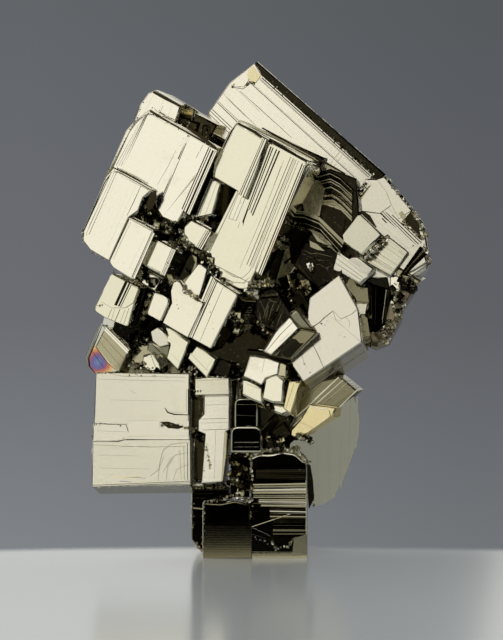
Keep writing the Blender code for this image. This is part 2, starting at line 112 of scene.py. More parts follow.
def softened(outline):
    # a corner given with a third number is rounded to that radius
    done = []
    count = len(outline)
    for index, corner in enumerate(outline):
        here = Vector(corner[:2])
        radius = corner[2] if len(corner) > 2 else 0.0
        if radius <= 0.0:
            done.append((here.x, here.y))
            continue
        before = Vector(outline[index - 1][:2]) - here
        after = Vector(outline[(index + 1) % count][:2]) - here
        start = here + before.normalized() * min(radius, before.length * 0.45)
        end = here + after.normalized() * min(radius, after.length * 0.45)
        steps = 3 if radius < 0.7 else 6
        for step in range(steps + 1):
            t = step / steps
            point = start * (1 - t) ** 2 + here * (2 * t * (1 - t)) + end * t ** 2
            done.append((point.x, point.y))
    return done


def turnsLeft(outline):
    area = 0.0
    for index, (x, y) in enumerate(outline):
        nextX, nextY = outline[(index + 1) % len(outline)]
        area += x * nextY - nextX * y
    return area > 0.0


def insetSides(outline, reaches):
    # moves each side of a closed outline inwards by its own reach; a side runs from its corner to the next
    count = len(outline)
    turn = 1.0 if turnsLeft(outline) else -1.0
    sides = []
    for index, corner in enumerate(outline):
        here = Vector(corner)
        run = (Vector(outline[(index + 1) % count]) - here).normalized()
        inward = Vector((-run.y, run.x)) * turn
        sides.append((inward, inward.dot(here) + reaches[index]))
    moved = []
    for index, corner in enumerate(outline):
        lastIn, lastAt = sides[index - 1]
        inward, at = sides[index]
        cross = lastIn.x * inward.y - lastIn.y * inward.x
        if abs(cross) > 0.25:
            x = (lastAt * inward.y - at * lastIn.y) / cross
            y = (lastIn.x * at - inward.x * lastAt) / cross
            moved.append((x, y))
        else:
            way = (lastIn + inward).normalized()
            reach = (reaches[index - 1] + reaches[index]) / 2
            moved.append(tuple(Vector(corner) + way * reach))
    return moved


def inset(outline, reach):
    return insetSides(outline, [reach] * len(outline))


def startPiece(name, seed):
    mesh = bmesh.new()
    return {
        "name": name,
        "mesh": mesh,
        "grain": mesh.loops.layers.uv.new("grain"),
        "tone": mesh.faces.layers.float.new("tone"),
        "chance": random.Random(seed),
    }


def addSolid(piece, crystal, rings, slot, roundRings=0, frontSlot=None, rimSlot=None):
    # rings of points, joined one to the next and capped; the first few bands can be shaded round
    mesh = piece["mesh"]
    frameOf = crystal["frame"]
    rows = []
    local = {}
    if max((frameOf @ Vector(point)).z for ring in rings for point in ring) < clearance * mm:
        return []  # it would lie under the surface the specimen stands on
    for ring in rings:
        row = []
        for point in ring:
            place = frameOf @ Vector(point)
            place = Vector([min(max(value, low), high) for value, low, high in zip(place, *cadBox)])
            vert = mesh.verts.new(place)
            local[vert] = point
            row.append(vert)
        rows.append(row)
    count = len(rows[0])
    faces = [mesh.faces.new(rows[0]), mesh.faces.new(list(reversed(rows[-1])))]
    fronts = 1
    for band, (near, far) in enumerate(zip(rows, rows[1:])):
        for index in range(count):
            after = (index + 1) % count
            face = mesh.faces.new((near[index], far[index], far[after], near[after]))
            face.smooth = band < roundRings
            if band < roundRings:
                faces.insert(fronts, face)
                fronts += 1
            else:
                faces.append(face)
    ways = lineWays[crystal["lines"]]
    back = crystal["rotation"].transposed()
    for number, face in enumerate(faces):
        face.normal_update()
        face.material_index = frontSlot if frontSlot is not None and number < fronts else slot
        if rimSlot is not None and 0 < number < fronts:
            face.material_index = rimSlot
        face[piece["tone"]] = crystal["tone"]
        normal = back @ face.normal
        flat = max((abs(normal[axis]), "xyz"[axis]) for axis in range(3))[1]
        along = "xyz".index(ways[flat])
        across = 3 - along - "xyz".index(flat)
        for loop in face.loops:
            point = local[loop.vert]
            loop[piece["grain"]].uv = (point[along] + crystal["shift"], point[across] + crystal["shift"])
    return faces


def addBoard(piece, crystal, plane, outline, rise, tilt=(0.0, 0.0), slopes=levelSlopes, slot=None):
    # a thin growth layer lying on a face: plane is the face's origin, right, up and outward directions
    origin, right, up, out = plane
    top = insetSides(outline, edgeReaches(outline, [rise * slope for slope in slopes]))
    low = inset(outline, -rootDepth * 0.3)
    midX = sum(point[0] for point in top) / len(top)
    midY = sum(point[1] for point in top) / len(top)
    topRing = []
    for x, y in top:
        height = rise + (x - midX) * tilt[0] + (y - midY) * tilt[1]
        topRing.append(origin + right * x + up * y + out * height)
    lowRing = [origin + right * x + up * y - out * rootDepth for x, y in low]
    addSolid(piece, crystal, [topRing, lowRing], crystal["slot"] if slot is None else slot)


def lineSlopes(alongUp, slope):
    # growth lines drop away gently on one long side and steeply on the rest
    return (0.3, slope, 0.3, 0.3) if alongUp else (slope, 0.3, 0.3, 0.3)


def frontPlane():
    return Vector((0, 0, 0)), Vector((1, 0, 0)), Vector((0, 0, 1)), Vector((0, -1, 0))


def pairs(numbers):
    # x, y, x, y and so on, as points
    return list(zip(numbers[::2], numbers[1::2]))


def ridges(chance, amount, rise, drop, *slots):
    # growth lines side by side: each rises slowly and falls away over the last share of its width
    stops = [0.0]
    for _ in range(amount):
        stops.append(stops[-1] + chance.uniform(0.35, 1.65))
    profile = [(0.0, 0.0)]
    tints = []
    for near, far in zip(stops, stops[1:]):
        start, width = near / stops[-1], (far - near) / stops[-1]
        share = abs(drop) * chance.uniform(0.6, 1.4)
        height = rise * chance.uniform(0.35, 1.0)
        tint = chance.choice(slots)
        if drop > 0.0:
            profile += [(start + width * (1.0 - share), height), (start + width, 0.0)]
        else:
            profile += [(start + width * share, height), (start + width, 0.0)]
        tints += [tint, tint]
    return profile, tints


def grooves(chance, amount, height, gap, slot):
    # flat-topped lines with a low strip beside each, near-black as painted shade
    stops = [0.0]
    for _ in range(amount):
        stops.append(stops[-1] + chance.uniform(0.5, 1.5))
    profile = []
    tints = []
    for near, far in zip(stops, stops[1:]):
        start, end = near / stops[-1], far / stops[-1]
        edge = end - (end - start) * gap * chance.uniform(0.6, 1.4)
        profile += [(start + 0.002, height), (edge, height), (edge + 0.002, 0.0), (end, 0.0)]
        tints += [slot, paintedShade, paintedShade, paintedShade]
    return profile, tints[:-1]


def addCut(piece, crystal, plane, points, width, slot):
    # a fine groove or seam that follows a line of points; a near-black one is a line of painted shade
    reach = [width * (0.3 if step in (0, len(points) - 1) else 0.5) for step in range(len(points))]
    for step in range(len(points) - 1):
        start, end = Vector(points[step]), Vector(points[step + 1])
        along = end - start
        side = Vector((-along.y, along.x)).normalized()
        wide, narrow = side * reach[step], side * reach[step + 1]
        corners = (start - wide, end - narrow, start + wide, end + narrow)
        addFan(piece, crystal, plane, corners, [(0.0, 0.0), (0.5, seamHeight), (1.0, 0.0)], [slot, slot])


def addFan(piece, crystal, plane, corners, profile, tints):
    # a run of growth lines between two given lines; profile gives shares across and heights
    origin, right, up, out = plane
    firstStart, firstEnd, lastStart, lastEnd = (Vector(corner) for corner in corners)
    rings = []
    for first, last in ((firstStart, lastStart), (firstEnd, lastEnd)):
        ring = []
        for share, height in profile:
            x, y = first.lerp(last, share)
            ring.append(origin + right * x + up * y + out * (height + lineLift))
        for x, y in (last, first):
            ring.append(origin + right * x + up * y - out * rootDepth)
        rings.append(ring)
    faces = addSolid(piece, crystal, rings, crystal["slot"])
    for face, tint in zip(faces[2:], tints):
        face.material_index = tint


def joggedBox(box, alongUp, chance, jogs, reach):
    # a long board whose sides step in and out a little, as growth layers do
    left, right, low, high = box
    start, end = (low, high) if alongUp else (left, right)
    near, far = (left, right) if alongUp else (low, high)
    stops = sorted(chance.uniform(start, end) for _ in range(jogs))
    line = []
    height = far
    at = start
    line.append((at, height))
    for stop in stops:
        if stop - at < 0.3 or end - stop < 0.3:
            continue
        line.append((stop, height))
        height = far - chance.uniform(0.0, reach)
        line.append((stop + 0.05, height))
        at = stop
    line.append((end, height))
    line.append((end, near))
    line.append((start, near))
    if alongUp:
        return [(across, along) for along, across in line]
    return line


def slanted(outline, alongUp, chance):
    # a long board tapers and strays a little from the way it runs
    shift = [chance.uniform(-0.06, 0.06) for _ in outline]
    if alongUp:
        return [(x + push, y) for (x, y), push in zip(outline, shift)]
    return [(x, y + push) for (x, y), push in zip(outline, shift)]


def addLines(piece, crystal, plane, box, alongUp, amount, widths, rises, lengths, slope=1.0, tilt=0.02):
    # growth lines: thin boards of random width and length, all running one way
    chance = piece["chance"]
    left, right, low, high = box
    for _ in range(amount):
        width = chance.uniform(*widths)
        rise = min(chance.uniform(*rises), width * 0.6 / (slope + 0.3))
        share = min(1.0, chance.uniform(*lengths))
        lean = chance.uniform(-tilt, tilt)
        whole = (high - low) if alongUp else (right - left)
        span = whole * share
        offset = chance.choice((0.0, 1.0, chance.random())) * (whole - span)
        if alongUp:
            room = right - left - width
            if room <= 0.0:
                continue
            x = left + chance.random() * room
            outline = slanted(boxOutline(x, x + width, low + offset, low + offset + span), True, chance)
            tilts = (lean, 0.0)
        else:
            room = high - low - width
            if room <= 0.0:
                continue
            y = low + chance.random() * room
            outline = slanted(boxOutline(left + offset, left + offset + span, y, y + width), False, chance)
            tilts = (0.0, lean)
        addBoard(piece, crystal, plane, outline, rise, tilts, lineSlopes(alongUp, slope))


def spanOf(outline):
    xs = [point[0] for point in outline]
    ys = [point[1] for point in outline]
    return min(xs), max(xs), min(ys), max(ys)


def innerBox(outline, x, margin):
    # the stretch of the vertical line at x that lies inside the outline
    hits = []
    for index, (x0, y0) in enumerate(outline):
        x1, y1 = outline[(index + 1) % len(outline)]
        if (x0 - x) * (x1 - x) < 0.0:
            hits.append(y0 + (y1 - y0) * (x - x0) / (x1 - x0))
    hits.sort()
    best = (0.0, 0.0)
    for low, high in zip(hits[::2], hits[1::2]):
        if high - low > best[1] - best[0]:
            best = (low, high)
    return best[0] + margin, best[1] - margin


def lineFront(piece, crystal, outline):
    # random growth lines over the whole front, each cut to the outline
    chance = piece["chance"]
    alongUp = crystal["lines"] == "up"
    shape = outline if alongUp else [(y, x) for x, y in outline]
    low, high = spanOf(shape)[:2]
    plane = frontPlane()
    for _ in range(int((high - low) * crystal["density"])):
        width = chance.choice((0.12, 0.2, 0.3, 0.5, 0.9, 1.4)) * chance.uniform(0.7, 1.3)
        at = chance.uniform(low + 0.1, high - width - 0.1)
        first = innerBox(shape, at + 0.02, 0.25)
        second = innerBox(shape, at + width, 0.25)
        start, end = max(first[0], second[0]), min(first[1], second[1])
        if end - start < 0.8:
            continue
        share = min(1.0, chance.uniform(0.3, 1.5))
        span = (end - start) * share
        start += chance.choice((0.0, 1.0, chance.random())) * (end - start - span)
        slope = chance.choice((0.6, 1.0, 1.6))
        rise = min(chance.uniform(0.02, 0.075) * crystal["relief"], width * 0.6 / (slope + 0.3))
        lean = chance.uniform(-1.0, 1.0) * crystal["vicinal"]
        if alongUp:
            box = (at, at + width, start, start + span)
            tilt = (lean, 0.0)
        else:
            box = (start, start + span, at, at + width)
            tilt = (0.0, lean)
        jogs = chance.choice((0, 0, 1, 2, 3)) if width > 0.35 else 0
        board = joggedBox(box, alongUp, chance, jogs, width * 0.5)
        addBoard(piece, crystal, plane, board, rise, tilt, lineSlopes(alongUp, slope), crystal["frontSlot"])


def lineSides(piece, crystal, outline):
    # growth lines on the faces that run back from each side of the outline
    ways = lineWays[crystal["lines"]]
    side = 1.0 if turnsLeft(outline) else -1.0
    deep = min(crystal["depth"] - 1.0, crystal["sideDeep"])
    for index, start in enumerate(outline):
        end = outline[(index + 1) % len(outline)]
        edge = Vector((end[0] - start[0], end[1] - start[1]))
        length = edge.length
        if length < 1.2:
            continue
        edge.normalize()
        outward = Vector((edge.y, -edge.x)) * side
        way = ways["x" if abs(outward.x) > abs(outward.y) else "z"]
        plane = (
            Vector((start[0], 0.0, start[1])),
            Vector((edge.x, 0.0, edge.y)),
            Vector((0.0, 1.0, 0.0)),
            Vector((outward.x, 0.0, outward.y)),
        )
        backwards = way == "y"
        room = length if backwards else deep
        amount = int(room * crystal["sideDensity"])
        box = (0.1, length - 0.1, crystal["shoulder"] + 0.15, deep)
        reach = crystal["sideRise"]
        addLines(piece, crystal, plane, box, backwards, amount, (0.15, 0.8), (0.02, reach), (0.5, 1.4), 1.0)


def edgeReaches(outline, edges):
    # how far each side of the outline is worn back, by the way it faces: top, right, bottom, left
    turn = 1.0 if turnsLeft(outline) else -1.0
    reaches = []
    for index, corner in enumerate(outline):
        after = outline[(index + 1) % len(outline)]
        run = Vector((after[0] - corner[0], after[1] - corner[1])).normalized()
        outX, outY = run.y * turn, -run.x * turn
        if abs(outY) > abs(outX):
            reaches.append(edges[0] if outY > 0 else edges[2])
        else:
            reaches.append(edges[1] if outX > 0 else edges[3])
    return reaches


def growCrystal(piece, crystal):
    outline = softened(crystal["outline"])
    reaches = edgeReaches(outline, crystal["edges"])
    shoulder = max(crystal["edges"]) * crystal["edgeDepth"]
    crystal["shoulder"] = shoulder
    rings = []
    for step in range(4):
        angle = math.radians(30.0 * step)
        ring = insetSides(outline, [reach * (1.0 - math.sin(angle)) for reach in reaches])
        rings.append([Vector((x, shoulder * (1.0 - math.cos(angle)), y)) for x, y in ring])
    rings.append([Vector((x, crystal["depth"], y)) for x, y in outline])
    addSolid(piece, crystal, rings, crystal["slot"], 3, crystal["frontSlot"], crystal["rimSlot"])
    front = insetSides(outline, reaches)
    plane = frontPlane()
    chance = piece["chance"]
    for shape, rise, *look in crystal["plates"]:
        slot = look[0] if look else None
        slopes = look[1] if len(look) > 1 else plateSlopes
        addBoard(piece, crystal, plane, softened(shape), rise, slopes=slopes, slot=slot)
    for fan in crystal["fans"]:
        addFan(piece, crystal, plane, pairs(fan[:8]), *ridges(chance, *fan[8:]))
    for run in crystal["grooves"]:
        amount, height, gap, *slots = run[8:]
        slot = slots[0] if slots else crystal["frontSlot"] or crystal["slot"]
        addFan(piece, crystal, plane, pairs(run[:8]), *grooves(chance, amount, height, gap, slot))
    for width, slot, *line in crystal["cuts"]:
        addCut(piece, crystal, plane, pairs(line), width, slot)
    for band in crystal["bands"]:
        addFan(piece, crystal, plane, pairs(band[:8]), *band[8:])
    lineFront(piece, crystal, front)
    lineSides(piece, crystal, outline)
    for line in crystal["chips"]:
        first, last = (Vector(point) for point in pairs(line[:4]))
        amount, small, large, *slots = line[4:]
        for _ in range(amount):
            x, y = first.lerp(last, chance.random()) + Vector([chance.gauss(0.0, strayReach) for _ in "xy"])
            spot = Vector(crystal["at"]) + crystal["rotation"] @ Vector((x, chance.uniform(-0.05, 0.25), y))
            size = chance.uniform(small, large)
            addShard(piece, spot, size, crystal["turn"], chance.choice(slots), chance.random(), 0.6)


crystalDefaults = {
    "lines": None,  # the way the growth lines run in front, where it isn't the piece's own way
    "edges": (0.5, 0.25, 0.18, 0.22),  # wear of the top, right, bottom and left edge
    "edgeDepth": 1.0,  # how far back the wear runs, for its width
    "density": 1.1,  # growth lines for each mm of the front
    "relief": 0.6,  # their height
    "vicinal": 0.006,  # how much they lean
    "sideDensity": 2.0,
    "sideDeep": 7.0,
    "sideRise": 0.09,
    "slot": bright,  # finish, and those of the front and of its worn rim where they differ; a near-black front is painted shade
    "frontSlot": None,
    "rimSlot": None,
    "plates": [],  # growth layers: outline, rise and, where they differ, finish and slopes
    "fans": [],  # lines between two lines, x and y of four ends: count, rise, drop and finishes; near-black finishes are painted shade
    "grooves": [],  # grooves between two lines, their low strips near-black as painted shade: count, height, gap and a finish
    "bands": [],  # stripes between two lines: profile and finishes, the near-black ones painted shade
    "cuts": [],  # seams: width, finish and the points they pass, x, y, x, y and so on; near-black seams are painted shade
    "chips": [],  # broken bits along a line, x and y of two ends: count, smallest, largest and finishes; near-black bits are painted shade
}


def grown(at, turn, outline, depth, **detail):
    # a crystal: the middle of its front, its turn, the front's outline or its size, and how far it runs back
    if not isinstance(outline, list):
        width, height = outline
        outline = boxOutline(-width / 2, width / 2, -height / 2, height / 2)
    place = {"frame": crystalFrame(at, turn), "rotation": turnMatrix(turn)}
    return {**crystalDefaults, **detail, "at": at, "turn": turn, "outline": outline, "depth": depth, **place}


def addShard(piece, at, size, turn, slot, tone, squareness=0.5):
    # a small broken bit: a cube with knocked corners, turned a little its own way
    chance = piece["chance"]
    turned = [angle + chance.uniform(-1.0, 1.0) * 70.0 * (1.0 - squareness) for angle in turn]
    crystal = {
        "frame": crystalFrame(at, turned),
        "rotation": turnMatrix(turned),
        "lines": "up",
        "tone": tone,
        "shift": chance.uniform(0.0, 200.0),
    }
    half = [size * chance.uniform(0.35, 0.65) for _ in range(3)]
    cut = [chance.uniform(0.1, 0.45) * (1.2 - squareness) for _ in range(4)]
    outline = []
    corners = [(-1, 1), (1, 1), (1, -1), (-1, -1)]
    for (signX, signZ), share in zip(corners, cut):
        x, z = half[0] * signX, half[2] * signZ
        first = (x * (1.0 - share), z)
        second = (x, z * (1.0 - share))
        outline += [first, second] if signX * signZ > 0 else [second, first]
    small = inset(outline, half[1] * 0.3)
    skew = [chance.uniform(-0.25, 0.25) * half[1] for _ in outline]
    rings = [
        [Vector((x, -half[1] + push, z)) for (x, z), push in zip(small, skew)],
        [Vector((x, -half[1] * 0.5, z)) for x, z in outline],
        [Vector((x, half[1] * 0.7, z)) for x, z in outline],
        [Vector((x, half[1], z)) for x, z in small],
    ]
    addSolid(piece, crystal, rings, slot)


def addRubble(piece, start, end, count, sizes, turn=upperTurn, spread=(0.5, 0.8, 0.5), slots=(broken,), square=0.5):
    # many small bits along a line, as in a crack or on a broken edge; near-black bits in a crack are painted shade
    chance = piece["chance"]
    first, last = Vector(start), Vector(end)
    for _ in range(count):
        at = first.lerp(last, chance.random())
        at += Vector([chance.uniform(-1.0, 1.0) * reach for reach in spread])
        size = chance.uniform(*sizes)
        tone = chance.uniform(0.0, 1.0)
        addShard(piece, at, size, turn, chance.choice(slots), tone, square)


def finishPiece(piece):
    mesh = piece["mesh"]
    bmesh.ops.recalc_face_normals(mesh, faces=mesh.faces)
    data = bpy.data.meshes.new(piece["name"])
    mesh.to_mesh(data)
    mesh.free()
    thing = bpy.data.objects.new(piece["name"], data)
    bpy.context.collection.objects.link(thing)
    for material in finishes:
        data.materials.append(material)
    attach(thing, "root")
    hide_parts("pyrite_crystal_cluster")
    print("built", piece["name"], len(data.polygons), "faces")
    return thing


def buildPiece(name, recipe):
    piece = startPiece(name, recipe["seed"])
    firstSeed, terraced = recipe.get("terraced", (0, []))  # each with a seed of its own
    stack = [stepped(firstSeed + index, *row) for index, row in enumerate(terraced)]
    for crystal in recipe["crystals"] + stack:
        crystal["lines"] = crystal["lines"] or recipe.get("lines", "up")
        crystal["tone"] = crystal.get("tone", piece["chance"].uniform(0.0, 1.0))
        crystal["shift"] = piece["chance"].uniform(0.0, 200.0)
        growCrystal(piece, crystal)
    for rubble in recipe["rubble"]:
        addRubble(piece, *rubble)
    return finishPiece(piece)


def link(nodes, output, socket):
    nodes.id_data.links.new(output, socket)


def newGroup(name, inputs, outputs):
    group = bpy.data.node_groups.new(name, "ShaderNodeTree")
    for label, kind, value in inputs:
        socket = group.interface.new_socket(label, in_out="INPUT", socket_type=kind)
        if value is not None:
            socket.default_value = value
    for label, kind in outputs:
        group.interface.new_socket(label, in_out="OUTPUT", socket_type=kind)
    return group, group.nodes.new("NodeGroupInput"), group.nodes.new("NodeGroupOutput")


def mathNode(nodes, operation, first, second=None, clamp=False):
    node = nodes.new("ShaderNodeMath")
    node.operation = operation
    node.use_clamp = clamp
    for socket, value in zip(node.inputs, (first, second)):
        if value is None:
            continue
        if isinstance(value, (int, float)):
            socket.default_value = value
        else:
            link(nodes, value, socket)
    return node.outputs[0]


def rangeNode(nodes, value, fromLow, fromHigh, toLow, toHigh, smooth=True):
    node = nodes.new("ShaderNodeMapRange")
    node.interpolation_type = "SMOOTHSTEP" if smooth else "LINEAR"
    link(nodes, value, node.inputs["Value"])
    for name, number in zip(("From Min", "From Max", "To Min", "To Max"), (fromLow, fromHigh, toLow, toHigh)):
        if isinstance(number, (int, float)):
            node.inputs[name].default_value = number
        else:
            link(nodes, number, node.inputs[name])
    return node.outputs["Result"]


def noiseNode(nodes, vector, scale, detail=2.0, rough=0.5):
    node = nodes.new("ShaderNodeTexNoise")
    link(nodes, vector, node.inputs["Vector"])
    node.inputs["Scale"].default_value = scale
    node.inputs["Detail"].default_value = detail
    node.inputs["Roughness"].default_value = rough
    return node


def mixColour(nodes, factor, first, second, blend="MIX"):
    node = nodes.new("ShaderNodeMix")
    node.data_type = "RGBA"
    node.blend_type = blend
    sockets = {"Factor": node.inputs[0], "A": node.inputs[6], "B": node.inputs[7]}
    for name, value in (("Factor", factor), ("A", first), ("B", second)):
        if isinstance(value, (int, float)):
            sockets[name].default_value = value
        elif isinstance(value, tuple):
            sockets[name].default_value = value + (1.0,)
        else:
            link(nodes, value, sockets[name])
    return node.outputs[2]


def growthLineGroup():
    # fine striae that run along the first grain direction: a height and a mask
    group, given, out = newGroup(
        "growth lines",
        [
            ("Grain", "NodeSocketVector", None),
            ("Fineness", "NodeSocketFloat", 4.0),
            ("Length", "NodeSocketFloat", 8.0),
        ],
        [("Height", "NodeSocketFloat"), ("Mask", "NodeSocketFloat")],
    )
    nodes = group.nodes
    split = nodes.new("ShaderNodeSeparateXYZ")
    link(nodes, given.outputs["Grain"], split.inputs[0])
    run = mathNode(nodes, "DIVIDE", split.outputs["X"], given.outputs["Length"])
    cross = mathNode(nodes, "MULTIPLY", split.outputs["Y"], given.outputs["Fineness"])
    joined = nodes.new("ShaderNodeCombineXYZ")
    link(nodes, run, joined.inputs["X"])
    link(nodes, cross, joined.inputs["Y"])
    broad = noiseNode(nodes, joined.outputs[0], 0.6, 1.0)
    fine = noiseNode(nodes, joined.outputs[0], 2.6, 2.0)
    steps = rangeNode(nodes, broad.outputs["Fac"], 0.44, 0.5, 0.0, 1.0)
    coarse = mathNode(nodes, "MULTIPLY", steps, 0.6)
    height = mathNode(nodes, "ADD", coarse, mathNode(nodes, "MULTIPLY", fine.outputs["Fac"], 0.5))
    patches = noiseNode(nodes, given.outputs["Grain"], 0.16, 2.0)
    where = rangeNode(nodes, patches.outputs["Fac"], 0.42, 0.62, 0.15, 1.0)
    link(nodes, mathNode(nodes, "MULTIPLY", height, where), out.inputs["Height"])
    sharp = rangeNode(nodes, fine.outputs["Fac"], 0.5, 0.66, 0.0, 1.0)
    link(nodes, mathNode(nodes, "MULTIPLY", sharp, where), out.inputs["Mask"])
    return group


def tarnishGroup():
    # cloudy patches of thin tarnish and specks of dirt
    group, given, out = newGroup(
        "thin tarnish",
        [
            ("Place", "NodeSocketVector", None),
            ("Patch Size", "NodeSocketFloat", 7.0),
            ("Amount", "NodeSocketFloat", 0.5),
        ],
        [("Clouds", "NodeSocketFloat"), ("Specks", "NodeSocketFloat"), ("Grit", "NodeSocketFloat")],
    )
    nodes = group.nodes
    scaled = nodes.new("ShaderNodeVectorMath")
    scaled.operation = "SCALE"
    link(nodes, given.outputs["Place"], scaled.inputs[0])
    link(nodes, mathNode(nodes, "DIVIDE", 1000.0, given.outputs["Patch Size"]), scaled.inputs["Scale"])
    clouds = noiseNode(nodes, scaled.outputs[0], 1.0, 4.0, 0.55)
    specks = noiseNode(nodes, scaled.outputs[0], 14.0, 2.0, 0.6)
    grit = noiseNode(nodes, scaled.outputs[0], 46.0, 2.0, 0.6)
    edge = mathNode(nodes, "SUBTRACT", 0.75, mathNode(nodes, "MULTIPLY", given.outputs["Amount"], 0.4))
    cloudy = rangeNode(nodes, clouds.outputs["Fac"], edge, mathNode(nodes, "ADD", edge, 0.2), 0.0, 1.0)
    link(nodes, cloudy, out.inputs["Clouds"])
    link(nodes, rangeNode(nodes, specks.outputs["Fac"], 0.62, 0.72, 0.0, 1.0), out.inputs["Specks"])
    link(nodes, grit.outputs["Fac"], out.inputs["Grit"])
    return group


growthLines = growthLineGroup()
thinTarnish = tarnishGroup()


def useGroup(nodes, group, values):
    node = nodes.new("ShaderNodeGroup")
    node.node_tree = group
    for name, value in values.items():
        socket = node.inputs[name]
        if isinstance(value, (int, float)):
            socket.default_value = value
        else:
            link(nodes, value, socket)
    return node


bumpHeight = 0.03 * mm


def pyriteFinish(name, looks):
    material = bpy.data.materials.new(name)
    material.use_nodes = True
    nodes = material.node_tree.nodes
    shader = nodes["Principled BSDF"]
    grain = nodes.new("ShaderNodeUVMap")
    grain.uv_map = "grain"
    place = nodes.new("ShaderNodeTexCoord").outputs["Object"]
    tone = nodes.new("ShaderNodeAttribute")
    tone.attribute_name = "tone"
    grainUse = {"Grain": grain.outputs[0], "Fineness": looks["fineness"], "Length": looks["lineLength"]}
    lines = useGroup(nodes, growthLines, grainUse)
    tarnishUse = {"Place": place, "Patch Size": looks["patch"], "Amount": looks["tarnish"]}
    tarnish = useGroup(nodes, thinTarnish, tarnishUse)
    base = mixColour(nodes, tone.outputs["Fac"], looks["colour"], looks["otherColour"])
    for mask, share, colour in (
        (tarnish.outputs["Clouds"], "cloudy", "tarnishColour"),
        (lines.outputs["Mask"], "lineTint", "lineColour"),
        (tarnish.outputs["Specks"], "specks", "speckColour"),
    ):
        base = mixColour(nodes, mathNode(nodes, "MULTIPLY", mask, looks[share]), base, looks[colour])
    if "film" in looks:
        base = looks["film"](nodes, place, base)
    link(nodes, base, shader.inputs["Base Color"])
    shader.inputs["Metallic"].default_value = 1.0
    low, high = looks["roughness"]
    rough = rangeNode(nodes, tarnish.outputs["Grit"], 0.3, 0.7, low, high)
    rough = mathNode(nodes, "ADD", rough, mathNode(nodes, "MULTIPLY", tarnish.outputs["Clouds"], 0.12))
    link(nodes, rough, shader.inputs["Roughness"])
    bump = nodes.new("ShaderNodeBump")
    bump.inputs["Strength"].default_value = looks["bump"]
    bump.inputs["Distance"].default_value = bumpHeight
    grit = mathNode(nodes, "MULTIPLY", tarnish.outputs["Grit"], looks["grit"])
    height = mathNode(nodes, "ADD", lines.outputs["Height"], grit)
    link(nodes, height, bump.inputs["Height"])
    link(nodes, bump.outputs[0], shader.inputs["Normal"])
    return material


brightLooks = {
    "colour": (0.825, 0.785, 0.645),
    "otherColour": (0.72, 0.69, 0.52),
    "tarnishColour": (0.70, 0.62, 0.40),
    "lineColour": (0.62, 0.56, 0.38),
    "speckColour": (0.40, 0.34, 0.22),
    "roughness": (0.11, 0.17),
    "fineness": 5.0,
    "lineLength": 14.0,
    "lineTint": 0.12,
    "patch": 9.0,
    "tarnish": 0.45,
    "cloudy": 0.35,
    "specks": 0.12,
    "bump": 0.06,
    "grit": 0.03,
}
# painted shade: a near-black pyrite put on fronts, gaps, seams, grooves and bits that lie in shade or mirror only
# the dim surroundings
paintedShadeLooks = dict(
    brightLooks,
    colour=(0.026, 0.021, 0.010),
    otherColour=(0.009, 0.008, 0.005),
    tarnishColour=(0.060, 0.046, 0.016),
    lineColour=(0.13, 0.11, 0.060),
    roughness=(0.05, 0.10),
    lineTint=0.22,
    cloudy=0.6,
)
# partly greenish tarnish and partly painted shade: a dimmed pyrite for faces, sides, lines and bits that lie in
# shade
oliveTarnishAndShadeLooks = dict(
    brightLooks,
    colour=(0.56, 0.52, 0.34),
    otherColour=(0.21, 0.19, 0.11),
    tarnishColour=(0.20, 0.16, 0.08),
    lineColour=(0.16, 0.13, 0.07),
    roughness=(0.14, 0.26),
    lineTint=0.3,
    cloudy=0.5,
    bump=0.05,
    grit=0.02,
)
brokenLooks = dict(
    brightLooks,
    colour=(0.62, 0.56, 0.38),
    otherColour=(0.25, 0.20, 0.12),
    tarnishColour=(0.20, 0.15, 0.08),
    roughness=(0.2, 0.38),
    lineTint=0.2,
    cloudy=0.7,
    bump=0.5,
    grit=1.0,
    patch=4.0,
)
goldenLooks = dict(
    brightLooks,
    colour=(0.80, 0.72, 0.42),
    otherColour=(0.70, 0.58, 0.30),
    tarnishColour=(0.62, 0.48, 0.22),
    roughness=(0.14, 0.26),
    cloudy=0.3,
    bump=0.14,
)
filmSpots = (  # thickest spots of the film and how far it reaches, in metres
    ((-0.0320, -0.0106, 0.0391), 0.0029),
    ((-0.0262, -0.0181, 0.0150), 0.0030),
    ((0.0036, -0.0212, 0.0642), 0.0056),
)
filmColours = (  # from the thin rim of the film to its thickest spot
    (0.28, (0.50, 0.52, 0.42)),
    (0.40, (0.60, 0.34, 0.10)),
    (0.49, (0.44, 0.09, 0.04)),
    (0.56, (0.16, 0.03, 0.13)),
    (0.66, (0.045, 0.05, 0.26)),
    (0.82, (0.08, 0.17, 0.34)),
)


def fillRamp(nodes, stops):
    ramp = nodes.new("ShaderNodeValToRGB")
    while len(ramp.color_ramp.elements) < len(stops):
        ramp.color_ramp.elements.new(0.5)
    for element, (position, colour) in zip(ramp.color_ramp.elements, stops):
        element.position = position
        element.color = colour + (1.0,)
    return ramp


# the film's thickness in a spot's middle, its fall outwards, its ripple and grain, and how much metal it covers
filmLooks = {"middle": 0.80, "fall": 0.40, "ripple": 0.2, "grain": 260.0, "cover": 0.88}


def oxideFilm(nodes, place, base):
    # bands of interference colour that change with the thickness of the film
    film = noiseNode(nodes, place, filmLooks["grain"], 2.0)
    depths = []
    for spot, reach in filmSpots:
        away = nodes.new("ShaderNodeVectorMath")
        away.operation = "DISTANCE"
        link(nodes, place, away.inputs[0])
        away.inputs[1].default_value = spot
        depths.append(mathNode(nodes, "DIVIDE", away.outputs["Value"], reach))
    thin = depths[0]
    for depth in depths[1:]:
        thin = mathNode(nodes, "MINIMUM", thin, depth)
    thick = mathNode(nodes, "SUBTRACT", filmLooks["middle"], mathNode(nodes, "MULTIPLY", thin, filmLooks["fall"]))
    thick = mathNode(nodes, "ADD", thick, mathNode(nodes, "MULTIPLY", film.outputs["Fac"], filmLooks["ripple"]))
    thick = mathNode(nodes, "SUBTRACT", thick, filmLooks["ripple"] / 2)
    ramp = fillRamp(nodes, filmColours)
    link(nodes, thick, ramp.inputs["Fac"])
    return mixColour(nodes, filmLooks["cover"], base, ramp.outputs["Color"])


